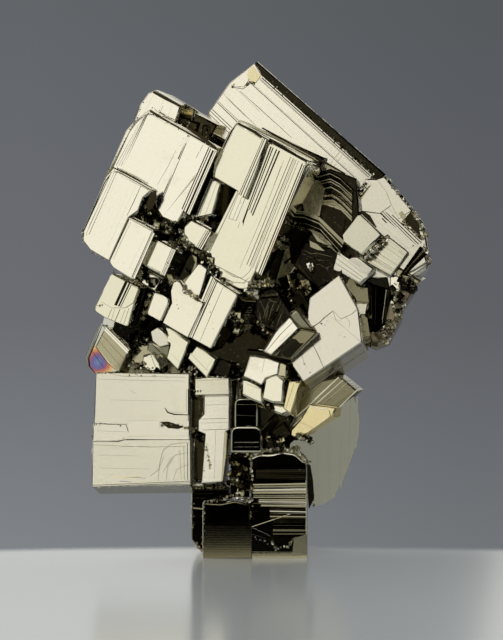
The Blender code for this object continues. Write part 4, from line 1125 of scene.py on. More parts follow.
rightCluster = {"seed": 13, "lines": "across", "crystals": [
    grown((28.2, 5, 63.5), rightTurn, [(-12.3, 6.4), (-9.3, 8.6), (2, 7), (5, 5.2), (8.1, 2.5), (8.6, 0.8),
        (6.6, -7.4), (0.5, -13), (-5.2, -12.2), (-11, -2.5)], 15, density=1.2, relief=0.8, sideRise=0.2,
        plates=[([(-9.9, -0.4), (-10.5, 5.8), (-10.4, 7.2), (-7.2, 6.7), (-4.7, 5.4), (-5.3, 2.7), (-8.1, 0.9)],
        0.4), ([(-10.4, 7.5), (-9.6, 8.8), (-1, 7.2), (-1.8, 4.4), (-4.5, 5.4), (-7.4, 6.9)], 0.25),
        ([(-8.9, -0.3), (-8.2, 1), (-6.5, 1.2), (-4.1, 0.3), (-4.6, -0.7), (-7.1, -0.2)], 1.5, paintedShade, sharpSlopes),
        ([(-1, 5.1), (-1, 7), (1.9, 6.3), (3.8, 4.7), (1.7, 4.5)], 0.5, paintedShade, sharpSlopes),
        ([(-2.6, 5.1), (-2.4, 6.1), (-0.8, 5.8), (-0.9, 4.7)], 0.6, oliveTarnishAndShade, sharpSlopes)],
        grooves=[(-6, 2.2, 3.6, 1.3, -4.4, 4.3, 4.9, 3.8, 5, 0.1, 0.5, bright)],
        fans=[(-10.7, 0.2, -10.9, 6, -9.7, 0, -10, 5.9, 2, 0.5, 0.4, bright, oliveTarnishAndShade)],
        chips=[(-9.5, 9, -0.6, 7.4, 60, 0.2, 0.7, bright, paintedShade, bright),
        (-0.6, 7.4, 4.9, 5.4, 50, 0.2, 0.9, bright, broken, oliveTarnishAndShade),
        (-11.5, 5.5, -11.2, 1.4, 34, 0.2, 0.7, bright, paintedShade, broken),
        (-11, 4.8, -7.1, 6, 12, 0.15, 0.4, paintedShade, broken), (-7.1, 4.1, -5, 3.5, 14, 0.15, 0.5, paintedShade, paintedShade, broken),
        (-0.6, 4.6, 4.8, 4.5, 70, 0.2, 0.9, bright, oliveTarnishAndShade, broken, golden),
        (5.5, 3.7, 8.8, 1.5, 30, 0.2, 0.7, bright, broken)]),
    grown((22, 0, 64.6), rightTurn, [(-3, -2.8), (-3.3, 2.5), (-2.7, 3.3), (2, 3), (3.8, 2.8), (3.5, -0.2),
        (3.4, -2.9), (1.3, -3.4), (-2, -3.6)], 12, tone=0.7, slot=oliveTarnishAndShade, frontSlot=bright,
        edges=(0.5, 1, 0.4, 0.22), density=0.4, relief=0.3,
        chips=[(3.7, -2.9, 4.3, 3.2, 60, 0.25, 0.9, bright, paintedShade, bright, broken)]),
    grown((28.2, 2, 60.5), rightTurn, [(-3.1, 2.6), (2.1, 2.8), (2.5, -3.2), (-3.1, -4.4)], 12, tone=0.95,
        density=0.3, relief=0.5, slot=oliveTarnishAndShade, frontSlot=bright,
        fans=[(-2.8, 2.3, 1.8, 2.5, -2.9, -4, 2.1, -3, 12, 0.05, 0.2, bright),
        (-2.7, 1.9, 0.3, 2.1, -2.6, 1.2, 0.4, 1.4, 1, 0.12, 0.3, bright)]),
    grown((20.1, -1, 58), adjusted(rightTurn, roll=-12),
        [(-3.2, -2.2), (-4.3, 1.9), (-1.3, 1.5), (-0.6, 2.6), (4, 2.2), (2.9, -2.1), (0.5, -1.8)], 14, tone=0.3,
        density=0.3, relief=0.4,
        plates=[([(-2, 2.3), (-1.6, 3.2), (-0.4, 3.2), (-0.6, 1.9)], 0.4, paintedShade, sharpSlopes)],
        fans=[(-3.9, 1.5, 3.6, 0.1, -3.2, -1.8, 2.4, -1.9, 4, 0.08, 0.2, bright)]),
    grown((18.8, 2.2, 62.8), adjusted(rightTurn, roll=-4), (6.4, 8.6), 12, density=1.5, relief=0.8,
        fans=[(-2.2, -0.1, 2, -0.4, -2.3, -1.7, 2.1, -2.4, 4, 0.3, 0.4, bright, paintedShade, oliveTarnishAndShade)]),
    grown((32.4, 3, 58.8), rightTurn, [(-0.5, -3.9), (-1.3, 3.8), (-0.6, 4.1), (2, 2.4), (1, -0.7)], 10,
        density=0.3, relief=0.6, slot=oliveTarnishAndShade, frontSlot=bright,
        fans=[(-0.5, -3.6, -1.3, 3.8, 0.4, -2.2, 0.9, 3.3, 6, 0.4, 0.45, bright, paintedShade, oliveTarnishAndShade, paintedShade)]),
    grown((30.8, 4, 55.6), adjusted(rightTurn, roll=-6, lean=-10),
        [(-2.6, 1.6), (2.8, 1.9), (2.2, -1.3), (-1.8, -1.8)], 9, slot=oliveTarnishAndShade),
    grown((31.2, 3, 54.6), (18, -10, -8), [(-1.3, 1.5, 0.5), (1.2, 1.3, 0.5), (1.4, -1.2, 0.5), (-1.2, -1.4, 0.4)],
        8, slot=paintedShade, lines="up"),
    grown((26.2, 3.2, 50.2), (2, -14, 0),
        [(-3.1, 5.7), (1.1, 6.1), (2.1, 2.3), (0.8, -3.6), (-1.4, -5.7), (-2.4, -3.1)], 14, slot=paintedShade, density=5,
        relief=1.6, plates=[([(-2.9, 5.5), (0.7, 6.1), (1.2, 3.7), (-2.4, 4.6)], 0.4, oliveTarnishAndShade, sharpSlopes)],
        fans=[(-2.6, 4.1, -1.9, -4.7, -0.9, 3.8, -1, -5.1, 4, 0.2, 0.5, oliveTarnishAndShade, paintedShade, paintedShade),
        (0.6, 3.5, 0, -3.6, 1.8, 3.5, 0.8, -3, 4, 0.25, 0.5, bright, oliveTarnishAndShade, paintedShade)], lines="up"),
    grown((29, 2.8, 54.8), adjusted(rightTurn, roll=-36, yaw=4),
        [(-1.3, 1.8), (0.9, 1.7), (0.9, -1.5), (-1.2, -1.3)], 9, density=5, relief=1.4, lines="up"),
    grown((22.6, 3, 49.5), (6, 6, 6), [(-5.4, 7.1), (-3.2, 6.7), (-2, 5.2), (0.9, 4.9), (1.1, 1.6), (0.9, -1),
        (2.2, -5.3), (-0.5, -6.2), (-2.2, -1.7), (-1.8, 2), (-4.1, 4.2)], 12, slot=oliveTarnishAndShade, density=0.6, relief=0.6,
        plates=[([(-2.9, 4.1), (0.7, 4.7), (1.1, 1.6), (-1.6, 1.6)], 0.3, oliveTarnishAndShade),
        ([(-1.5, 1.2), (0.7, 1.4), (0.5, -0.9), (-1.3, -1)], 0.5, bright),
        ([(-1.4, -1.7), (1, -1.4), (2, -5.2), (-0.4, -5.6)], 0.4, oliveTarnishAndShade)],
        chips=[(-0.3, 0.9, 1.4, -1.4, 40, 0.25, 0.9, paintedShade, paintedShade, broken),
        (-1.2, -1.6, 1.8, -5.4, 40, 0.15, 0.6, oliveTarnishAndShade, broken, bright),
        (-1.4, 5.3, 0.5, 6.7, 24, 0.2, 0.8, paintedShade, oliveTarnishAndShade)], lines="up"),
    grown((28, 4.4, 49.4), (0, 4, 4), [(-0.1, 5.1), (4, 7.1), (5, 4.7), (2.6, 1.1), (2.1, -1.4), (-0.5, -6.2),
        (-3.3, -7.2), (-5.3, -5.4), (-4.5, 2.3)], 13, slot=broken, density=1, relief=1,
        chips=[(1.1, 5.9, 2.3, 2.2, 120, 0.25, 0.9, bright, oliveTarnishAndShade, paintedShade),
        (0.3, 3, 1.5, -1.4, 120, 0.25, 0.9, bright, bright, oliveTarnishAndShade, paintedShade),
        (2.3, 2.2, 1.9, -1.4, 80, 0.2, 0.8, bright, broken, oliveTarnishAndShade),
        (1.5, -1.4, -0.9, -6.2, 110, 0.2, 0.8, bright, oliveTarnishAndShade, broken),
        (-0.1, -1.8, -3.7, -4.6, 120, 0.2, 0.8, bright, oliveTarnishAndShade, oliveTarnishAndShade, broken),
        (-0.9, -5.8, -5.7, -5.8, 120, 0.2, 0.9, bright, oliveTarnishAndShade, broken)], lines="up"),
], "rubble": [
    ((29.1, 3.8, 54.8), (29.9, 3.8, 49.2), 50, (0.4, 1.4), rightTurn, (0.7, 0.9, 0.6), (bright, broken, paintedShade)),
    ((29.1, 4, 47.2), (24.3, 4, 43.2), 60, (0.4, 1.4), rightTurn, (0.8, 0.9, 0.8), (bright, broken, oliveTarnishAndShade)),
    ((30.3, 3, 56), (32.3, 3, 53.6), 30, (0.5, 1.6), rightTurn, (0.7, 0.8, 0.6), (paintedShade, paintedShade, oliveTarnishAndShade)),
]}


upperLayers = (
    [(-2.9, 10.6), (-0.7, 12.3), (1.7, 12.0), (5.2, 10.5)],
    [(-0.3, 4.9), (2.4, 6.0), (4.4, 5.4), (7.4, 4.0)],
)
middleLayers = (
    [(-5.8, 1.4), (-2.1, 2.3), (1.5, 2.2), (8.6, -0.9)],
    [(-4.2, -1.3), (-0.5, -0.5), (2.7, -0.7), (8.0, -3.7)],
)
# painted shade: near-black and dimmed tarnish finishes in turn, as stripes of shade across the layers
layerShades = (paintedShade, oliveTarnishAndShade, paintedShade, oliveTarnishAndShade, oliveTarnishAndShade, paintedShade, oliveTarnishAndShade, paintedShade)


def bentLayers(lines, count, rise, fall, shift=0):
    # growth layers between two bent lines, each lower than the one before, tinted in turn as painted shade
    layers = []
    for step in range(count):
        share = step / count
        first = [Vector(a).lerp(Vector(b), share) for a, b in zip(*lines)]
        last = [Vector(a).lerp(Vector(b), share + 0.86 / count) for a, b in zip(*lines)]
        outline = [tuple(point) for point in first + last[::-1]]
        layers.append((outline, rise - fall * step, layerShades[(step + shift) % 8], sharpSlopes))
    return layers


# the recess: most of its crystals and layers are near-black or dimmed as painted shade
deepRecess = {"seed": 17, "crystals": [
    grown((12, 3, 66), (20, 18, 8), [(-6.3, 9), (-1.2, 13), (4.7, 12.8), (9.8, 2.6), (9.8, -7), (6.1, -10.9),
        (-1.4, -7.9), (-6, 0.9)], 12, slot=paintedShade, density=0.4, relief=0.4,
        plates=[([(-4.3, 9), (-1.8, 9.7), (0.1, 8.3), (1.3, 2.6), (-0.2, 2), (-2.2, 2.4), (-3.5, 4)], 1.6, oliveTarnishAndShade,
        sharpSlopes), *bentLayers(upperLayers, 13, 1.4, 0.1),
        ([(0.1, 5), (3, 5.6), (6.1, 4), (6.9, 0.3), (3.2, 1.4), (0.7, 3)], 0.5, paintedShade, sharpSlopes),
        *bentLayers(middleLayers, 9, 2.8, 0.2, 3),
        ([(0.5, -0.8), (2.7, -0.7), (6, -1.8), (4.8, -2.4), (2.5, -2.3)], 1, oliveTarnishAndShade, sharpSlopes),
        ([(0.8, -2.5), (2.7, -2.7), (5, -3.6), (3.1, -3.9), (1.5, -3.8)], 0.8, oliveTarnishAndShade, sharpSlopes)],
        cuts=[(0.14, oliveTarnishAndShade, 3.4, 0.8, 5.6, -0.2, 7.9, -2), (0.1, golden, 4.4, 1.2, 6.5, -0.3, 8.1, -1.5)],
        fans=[(-4, 6.7, 5, 9.8, -3.4, 5.4, 6.8, 5.5, 3, 0.1, 0.4, oliveTarnishAndShade),
        (-4.2, 8.4, -2.2, 2.4, -3.6, 8.6, -1.4, 2.3, 1, 0.2, 0.5, paintedShade)],
        chips=[(3.5, -2, 5.9, -2, 16, 0.2, 0.6, golden, bright, oliveTarnishAndShade),
        (-4.3, 0, 0.1, -0.8, 26, 0.3, 1, paintedShade, oliveTarnishAndShade), (2.5, -5.6, 7.1, -4.9, 24, 0.2, 0.8, paintedShade, oliveTarnishAndShade, paintedShade)]),
    grown((12, 2.7, 66), (20, 18, 8),
        [(-0.8, -2.4), (2.7, -2.9), (6.2, -2.1), (8, -1.1), (9.8, -7), (6.1, -10.9), (0.1, -7.3)], 4, slot=paintedShade,
        tone=1, density=0,
        cuts=[(0.1, oliveTarnishAndShade, 0.3, -4.6, 2, -4.9, 3.1, -4.3, 4.8, -4.2, 6.5, -4),
        (0.07, oliveTarnishAndShade, 1.2, -5.6, 2.7, -5.5, 4.3, -5.6, 6.2, -4.8),
        (0.08, oliveTarnishAndShade, 3.2, -7.1, 4.4, -6.3, 6, -6.6, 7, -5.8)]),
    grown((8, 4, 60.9), (16, 20, 6), [(-3, 1.5), (-1.5, 3.7), (0.5, 3.5), (2.3, -1.1), (0.9, -4.9), (-1, -2.4)], 10,
        slot=oliveTarnishAndShade, tone=0.2, density=0.3, relief=0.3,
        plates=[([(-2.5, 2.1), (-1, 2.1), (1.1, 1.3), (1.2, 0.9), (-1, 1.4), (-2.3, 1.5)], 0.15, paintedShade, sharpSlopes),
        ([(-0.9, -2), (0.3, -0.4), (1.4, 0.2), (1.5, -0.1), (0.4, -0.7), (-0.5, -2.5)], 0.15, paintedShade, sharpSlopes),
        ([(-1, 3.4), (0.1, 3.6), (1.1, 1.3), (-0.2, 1.7)], 0.3, oliveTarnishAndShade, sharpSlopes)]),
    grown((5.6, 4.6, 58.6), (14, 26, 2), [(-3.6, 3), (2.4, 4.6), (2.2, -4), (-2.6, -4.6)], 10, slot=oliveTarnishAndShade, tone=1,
        density=1, relief=0.5, plates=[([(-2, 2.6), (0.4, 3.4), (0.2, -3), (-1.6, -3.4)], 0.4, paintedShade)]),
    grown((11.2, 5.6, 58.8), (4, -6, -4), (3.6, 6), 9, slot=paintedShade, density=0.5),
    grown((9.2, 2.4, 54.6), (34, 16, 10), [(-1.6, 2.4), (1.2, 2.8), (2, -1.6), (-0.6, -2.6)], 8, slot=golden,
        frontSlot=paintedShade, rimSlot=golden, density=0, edges=(0.3, 0.3, 0.2, 0.3)),
    grown((10.9, 1.4, 54.2), (-12, -14, 14), [(-0.7, 1.7), (0.5, 1.4), (0.7, -1.2), (-0.4, -1.8)], 6, slot=golden,
        density=0, edges=(0.1, 0.1, 0.1, 0.1)),
    grown((6.6, 2.6, 55.2), (-24, 22, 8), [(-1.4, 1.6), (1.3, 1.2), (1, -1.8), (-1.2, -1.4)], 8, slot=golden,
        frontSlot=paintedShade, rimSlot=oliveTarnishAndShade, density=0, edges=(0.25, 0.2, 0.2, 0.25)),
    grown((3.8, 1.5, 52.4), (26, 4, -4),
        [(-3.4, -0.5), (0.2, 2.1), (5.3, -1), (5.4, -5.8), (1.1, -6.2), (-2.3, -4.7)], 12, slot=paintedShade, tone=1,
        density=0.3, relief=0.4,
        cuts=[(0.12, oliveTarnishAndShade, 0.5, 1.1, 0.2, -1.6, 0.6, -4.6), (0.1, oliveTarnishAndShade, 1.2, 0.6, 1.3, -2, 1.8, -4.9),
        (0.12, oliveTarnishAndShade, 2.3, 0.2, 2.5, -2.6, 2.8, -5.5), (0.1, oliveTarnishAndShade, 3.5, -0.5, 3.6, -2.9, 3.8, -5.7),
        (0.1, oliveTarnishAndShade, -1.8, -1.5, 0, -2.9, 1.5, -5.1), (0.12, oliveTarnishAndShade, -2.1, -2.8, -0.3, -4.2, 1.1, -6.2),
        (0.1, oliveTarnishAndShade, -0.8, -0.4, 0.7, -0.8, 2.3, -0.4)],
        fans=[(-1.9, -0.5, 1.1, 1.2, -1.5, -1.4, 1.5, 0.3, 2, 0.3, 0.3, oliveTarnishAndShade, paintedShade),
        (1.4, 0, 5.4, -1.6, 1.2, -0.3, 5.2, -2.1, 1, 0.3, 0.4, bright),
        (0.4, -2, 0.9, -4.4, 0.8, -1.8, 1.3, -4.3, 1, 0.3, 0.4, oliveTarnishAndShade),
        (2.3, -2.2, 1.6, -5.4, 3, -2.3, 2.5, -5.4, 2, 0.5, 0.4, oliveTarnishAndShade, paintedShade)],
        chips=[(-0.4, -6, 3.6, -6.7, 40, 0.2, 0.8, oliveTarnishAndShade, paintedShade, broken),
        (-3.4, -2.5, 0.7, -7.2, 40, 0.2, 0.8, paintedShade, paintedShade, oliveTarnishAndShade)]),
    grown((0, 0.5, 50), (28, 2, 0), [(-3.2, 1), (-0.1, 2.2), (2.1, -2.9), (0.4, -5.7), (-1.8, -3.2)], 10,
        slot=oliveTarnishAndShade, tone=1, density=3, relief=1.5,
        fans=[(-3, 0.7, -0.1, 2, -0.5, -3.9, 2, -2.8, 12, 0.4, 0.5, bright, paintedShade, oliveTarnishAndShade, paintedShade)]),
    grown((9.4, 0.4, 51), (-30, 22, 6), [(-1.9, 2.4), (1.4, 2.6), (2, -2.4), (-0.8, -3)], 12, slot=paintedShade, density=6,
        relief=1.6),
    grown((-0.6, 5.4, 47), (28, -20, 0), (7.6, 11), 10, slot=paintedShade, density=1),
], "rubble": [
    ((7.7, 1.2, 56.4), (10.9, 1.2, 53.6), 24, (0.25, 0.8), (-30, 13, 8), (1, 0.8, 1), (paintedShade, paintedShade, golden, paintedShade)),
    ((10.9, -0.5, 55.4), (11.7, -0.5, 53.4), 8, (0.3, 0.8), (10, 20, 10), (0.4, 0.5, 0.4), (golden, golden, oliveTarnishAndShade)),
    ((11.5, 0, 59), (12.1, 0, 57.6), 6, (0.5, 1.1), (-20, 13, 8), (0.2, 0.2, 0.2), (bright,), 1),
    ((-0.7, -3, 54.4), (3.9, -3, 55.2), 140, (0.2, 0.75), upperTurn, (0.6, 0.7, 0.7),
        (bright, bright, golden, oliveTarnishAndShade)),
    ((-0.9, -3.4, 53.4), (1.3, -3.4, 52.4), 30, (0.3, 1), upperTurn, (0.5, 0.6, 0.5), (bright, bright, oliveTarnishAndShade)),
    ((5.3, 1.4, 54.4), (9.7, 1.4, 50.8), 24, (0.3, 1), (-30, 4, 0), (0.9, 0.8, 0.9), (paintedShade, paintedShade, golden, paintedShade)),
    ((12.9, 2, 57.2), (16.6, 2, 58), 30, (0.4, 1.4), rightTurn, (0.8, 0.8, 0.8), (paintedShade, paintedShade, oliveTarnishAndShade)),
    ((10.5, -1, 78.1), (12.9, -1, 77.5), 20, (0.4, 1.2), upperTurn, (0.5, 0.6, 0.4), (bright, bright, golden)),
]}

tiltedBlock = {"seed": 19, "lines": "across", "crystals": [
    grown((14.2, -4, 46.2), tiltedTurn, [(0.8, 6.9, 0.3), (8.3, 7.8, 0.3), (7.9, -0.4), (5.1, -6.8, 0.3),
        (-9, -7.6, 0.4), (-9.3, -2.6), (-3.7, 1.6), (-1.7, 3.5)], 12, tone=0, density=0,
        plates=[([(8, 7.4), (1, 6.5), (-1.3, 3.3), (-2.1, 1.1), (0, 1.2), (1.1, 1.5), (3.4, 1.8), (3.9, -0.5),
        (6.3, -0.8), (7.6, -0.4)], 0.14, bright)],
        cuts=[(0.16, paintedShade, -2.4, 1, 0, 1.2, 1.1, 1.5, 3.4, 1.8),
        (0.14, oliveTarnishAndShade, 3.4, 1.8, 3.9, -0.5, 6.3, -0.8, 7.8, -0.5), (0.14, paintedShade, -3.5, -1.2, -3.7, -4.4, -4.1, -7.4),
        (0.1, paintedShade, -6.3, -2.1, -6.9, -4.4), (0.18, paintedShade, 1.4, 6.4, 1.1, 3.9, 1, 1.3),
        (0.1, paintedShade, 2.1, 6.5, 1.8, 4), (0.16, paintedShade, 4.2, 7.2, 4.1, 4.3, 4.2, 1.3), (0.1, paintedShade, 4.9, 7.2, 5, 4.9),
        (0.09, oliveTarnishAndShade, 3.3, 1.6, 2.9, -0.1, 3.3, -1.8), (0.08, oliveTarnishAndShade, 4.8, -0.6, 5.1, -2, 4.4, -2.8),
        (0.08, oliveTarnishAndShade, 3, 0, 3.6, -1)],
        chips=[(-0.2, 1.3, 0.3, 0.1, 8, 0.1, 0.3, oliveTarnishAndShade, paintedShade), (2.2, -0.9, 2.7, -6.1, 8, 0.06, 0.14, oliveTarnishAndShade),
        (1.1, 6.4, 7.9, 7.5, 14, 0.08, 0.25, bright, oliveTarnishAndShade),
        (-7.3, -3.4, -6.5, -6.8, 8, 0.08, 0.25, oliveTarnishAndShade, bright)], lines="up"),
    grown((5.4, -6, 44.4), (-45, 5, 10), [(4.2, 1.4), (4, -1.7), (-3.7, -1.6), (-4.4, 0.3), (-0.1, 1.3)], 9,
        density=0, slot=oliveTarnishAndShade, tone=0.1, frontSlot=bright,
        cuts=[(0.12, paintedShade, 4, 0, 0.3, 0, -4, -0.4), (0.09, oliveTarnishAndShade, 2, -1.1, -0.6, -1)]),
    grown((7.6, -6.4, 43.6), (-45, 5, 10), [(2.8, 0.3), (5, -2.7), (1.1, -2.7), (-2.6, -2.7), (-4.6, 0.4)], 5,
        density=0.4, slot=oliveTarnishAndShade, tone=1,
        plates=[([(-4.2, -0.3), (-1.2, 0.2), (0.3, 0.3), (1, -0.7), (1, -1.8), (1.6, -2.4), (-2.4, -2.5)], 0.08,
        paintedShade, sharpSlopes)]),
    grown((8.2, -5.6, 48.4), (-45, 13, -6), [(-0.4, 0.7), (1.3, 0.4), (0.9, -4.1), (1, -5.4), (-0.9, -2.8)], 5,
        density=1, relief=0.5, slot=oliveTarnishAndShade, tone=0.3),
    grown((9.6, -5, 37.4), (10, -4, 0), [(-3.1, 1.6), (3, 1.2), (0.7, -1.8), (-1.7, -1.8)], 6, slot=paintedShade, density=0,
        cuts=[(0.3, oliveTarnishAndShade, -1, 1.3, 0.6, 0)], lines="up"),
], "rubble": []}

heartCubes = {"seed": 23, "crystals": [
    grown((2, -5, 38.2), heartTurn, [(-3, 2), (0.3, 2.2), (3.3, 2.1), (3.5, -0.5), (1.4, -1.8), (1, -3.4),
        (-1.2, -2.9), (-3.2, -2.6)], 13, tone=0.1, density=0.1, relief=0.4,
        cuts=[(0.1, oliveTarnishAndShade, -2.7, 1.7, -2.8, -1.6), (0.08, oliveTarnishAndShade, 0.2, 1.8, 0.3, -0.9)]),
    grown((4, -4.8, 37), heartTurn, [(0.8, 2.8), (2.5, 2.6), (3, 0), (1.2, -0.2)], 9, density=0.5, relief=0.5,
        slot=oliveTarnishAndShade, tone=0.1),
    grown((0.4, -4.4, 34.2), heartTurn,
        [(-2.7, 1.3), (-0.6, 1.2), (1.6, 0.5), (2.5, -2.6), (0.3, -2.3), (-1.9, -1.8)], 12, density=0.1, relief=0.4,
        cuts=[(0.2, paintedShade, -2.7, 1.3, -0.5, 0.8, 1.6, 0.5), (0.1, oliveTarnishAndShade, -1.5, 0.4, 1.3, 0)],
        chips=[(-2.6, 1.5, 1.6, 0.7, 18, 0.1, 0.35, oliveTarnishAndShade, paintedShade), (1.1, 1, 2.2, 0.9, 8, 0.2, 0.45, paintedShade, paintedShade)]),
    grown((4.3, -6, 34), adjusted(heartTurn, roll=-3),
        [(-1.9, 2), (-0.1, 3), (1.7, 2.3), (2.3, -2.2), (0.5, -2.6), (-1.8, -2.2)], 12, tone=0.7, density=0.1,
        relief=0.4, cuts=[(0.14, oliveTarnishAndShade, -1.9, 1.8, 0, 2.8, 1.8, 2.1), (0.12, paintedShade, -2.2, 0.3, -1.9, -2)]),
    grown((8, -5, 32.6), adjusted(heartTurn, roll=4), [(-1.6, 2.8), (0.8, 3.3), (1, -3.5), (-0.9, -2.9)], 12,
        density=0.2, relief=0.4, slot=golden, cuts=[(0.12, oliveTarnishAndShade, -0.4, 2.5, -0.3, -2.7)],
        chips=[(-1.5, 2.6, 0.7, 3.1, 10, 0.15, 0.4, bright, golden)]),
    grown((5.9, -4.4, 30.1), heartTurn, [(-1.9, 0.6), (1, 0.7), (1.5, -0.2), (0.4, -1.1), (-1.3, -0.9)], 10,
        cuts=[(0.4, paintedShade, -2, 0.4, -1.2, -0.5)]),
], "rubble": [
    ((1.3, -2.4, 31.3), (4.7, -2.4, 29.9), 40, (0.25, 0.9), heartTurn, (0.5, 0.6, 0.5), (oliveTarnishAndShade, golden, paintedShade)),
    ((6.3, -3, 38.4), (7.3, -3, 35.7), 26, (0.2, 0.7), heartTurn, (0.4, 0.5, 0.5), (golden, bright, oliveTarnishAndShade)),
    ((-2.7, -2, 36.8), (-1.1, -2, 33.3), 30, (0.25, 0.8), heartTurn, (0.4, 0.5, 0.5), (oliveTarnishAndShade, bright, paintedShade)),
    ((1.3, -1, 32), (7.7, -1, 28), 30, (0.3, 1), heartTurn, (0.7, 0.6, 0.6), (paintedShade, paintedShade, oliveTarnishAndShade)),
]}

shellBrokenCube = {"seed": 29, "crystals": [
    grown((15.2, 6, 18.6), lensTurn, [(-3.3, 10.1), (12.7, 9.8), (11.2, 4.4, 2), (8.4, 0.2, 1), (4.6, -3.2, 2),
        (0.3, -6.6, 1), (-4.2, -8.7, 1.5), (-7.6, -7.5, 1.5), (-7.6, -3.6), (-6.1, 4.7)], 13, lines="up", density=0,
        sideDensity=0, slot=oliveTarnishAndShade, frontSlot=bright, edges=(0.3, 0.12, 0.15, 0.15), edgeDepth=0.6,
        bands=[(9.8, 9.9, -1, -7.4, 10, 9.7, -0.8, -7.7, [(0, 0), (0.5, 0.03), (1, 0)], [bright, bright]), (11.7,
        9.7, 2.6, -4.9, 11.8, 9.5, 2.7, -5.1, [(0, 0), (0.5, 0.03), (1, 0)], [bright, bright]),
        (6.2, 9, -4.3, -8.2, 7.1, 8, -2.9, -8.5, [(0, 0), (0.1, 0.04), (1, 0)], [bright, bright]),
        (2.5, 8.8, -6.5, -7.6, 4.8, 8.4, -5, -8.5, [(0, 0), (0.06, 0.04), (1, 0)], [bright, bright]),
        (13, 9.3, 6.2, -1.8, 13.3, 9, 7, -1.3, [(0, 0), (0.3, 0.04), (1, 0)], [bright, bright])],
        plates=[([(-3.2, 3.5), (-2.8, 2.4), (-4.3, -1.2), (-6.4, -5.2), (-8.5, -6.5)], 0.25, paintedShade, sharpSlopes)],
        chips=[(-3.4, 2, -7.4, -7, 70, 0.1, 0.35, oliveTarnishAndShade, oliveTarnishAndShade, paintedShade)]),
    grown((15.5, 0.4, 29.5), (-38, 12, 8), [(-1, 7.6), (5.8, 4.3), (7, -0.3), (-0.1, -0.8), (-7.7, -0.7),
        (-10.3, 1.7), (-11.1, 4.8), (-6.4, 6.9)], 6, slot=oliveTarnishAndShade, tone=1, density=0,
        cuts=[(0.32, bright, 5.7, 4.1, -2.6, 3.3, -10.6, 2.7), (0.22, bright, 6, 3.1, -2.5, 2.5, -10.3, 1.7),
        (0.18, bright, 6.3, 2.2, -2.1, 1.7), (0.16, bright, 6.6, 1.2, -0.9, 0.8),
        (0.3, bright, 7.1, -0.2, 0.6, -0.9), (0.12, paintedShade, -0.4, 5.9, -8.2, 5.2), (0.1, paintedShade, 2.2, 5.2, -6.8, 4.4),
        (0.14, paintedShade, 1.8, 1.7, -2, 1.8), (0.12, paintedShade, 5.9, 0, 1.8, 0)],
        chips=[(5.7, 4.4, 7.3, -0.9, 14, 0.08, 0.3, oliveTarnishAndShade, golden)]),
    grown((11.6, -1.6, 27.2), (-38, 14, 12), [(2.1, 3), (6.1, -0.9), (4.6, -2), (-2, -1.7), (-4.1, -1.1),
        (-4.9, 0.2), (-4.1, 1.1), (-1.4, 1.6)], 6, slot=golden, density=0, edges=(0.3, 0.5, 0.4, 0.3),
        cuts=[(0.12, oliveTarnishAndShade, -1.6, 1.2, -0.1, -1.3), (0.25, bright, 1.9, 2.9, 3.3, 0.9, 4.8, -0.2),
        (0.3, oliveTarnishAndShade, 4.7, -0.4, 4.3, -1.6, 2.7, -1.7)],
        chips=[(-4, -1, -1.5, -1.8, 40, 0.2, 0.7, bright, paintedShade, golden),
        (-1.4, 1.6, 2.1, 2.7, 10, 0.1, 0.3, golden, oliveTarnishAndShade)]),
], "rubble": []}

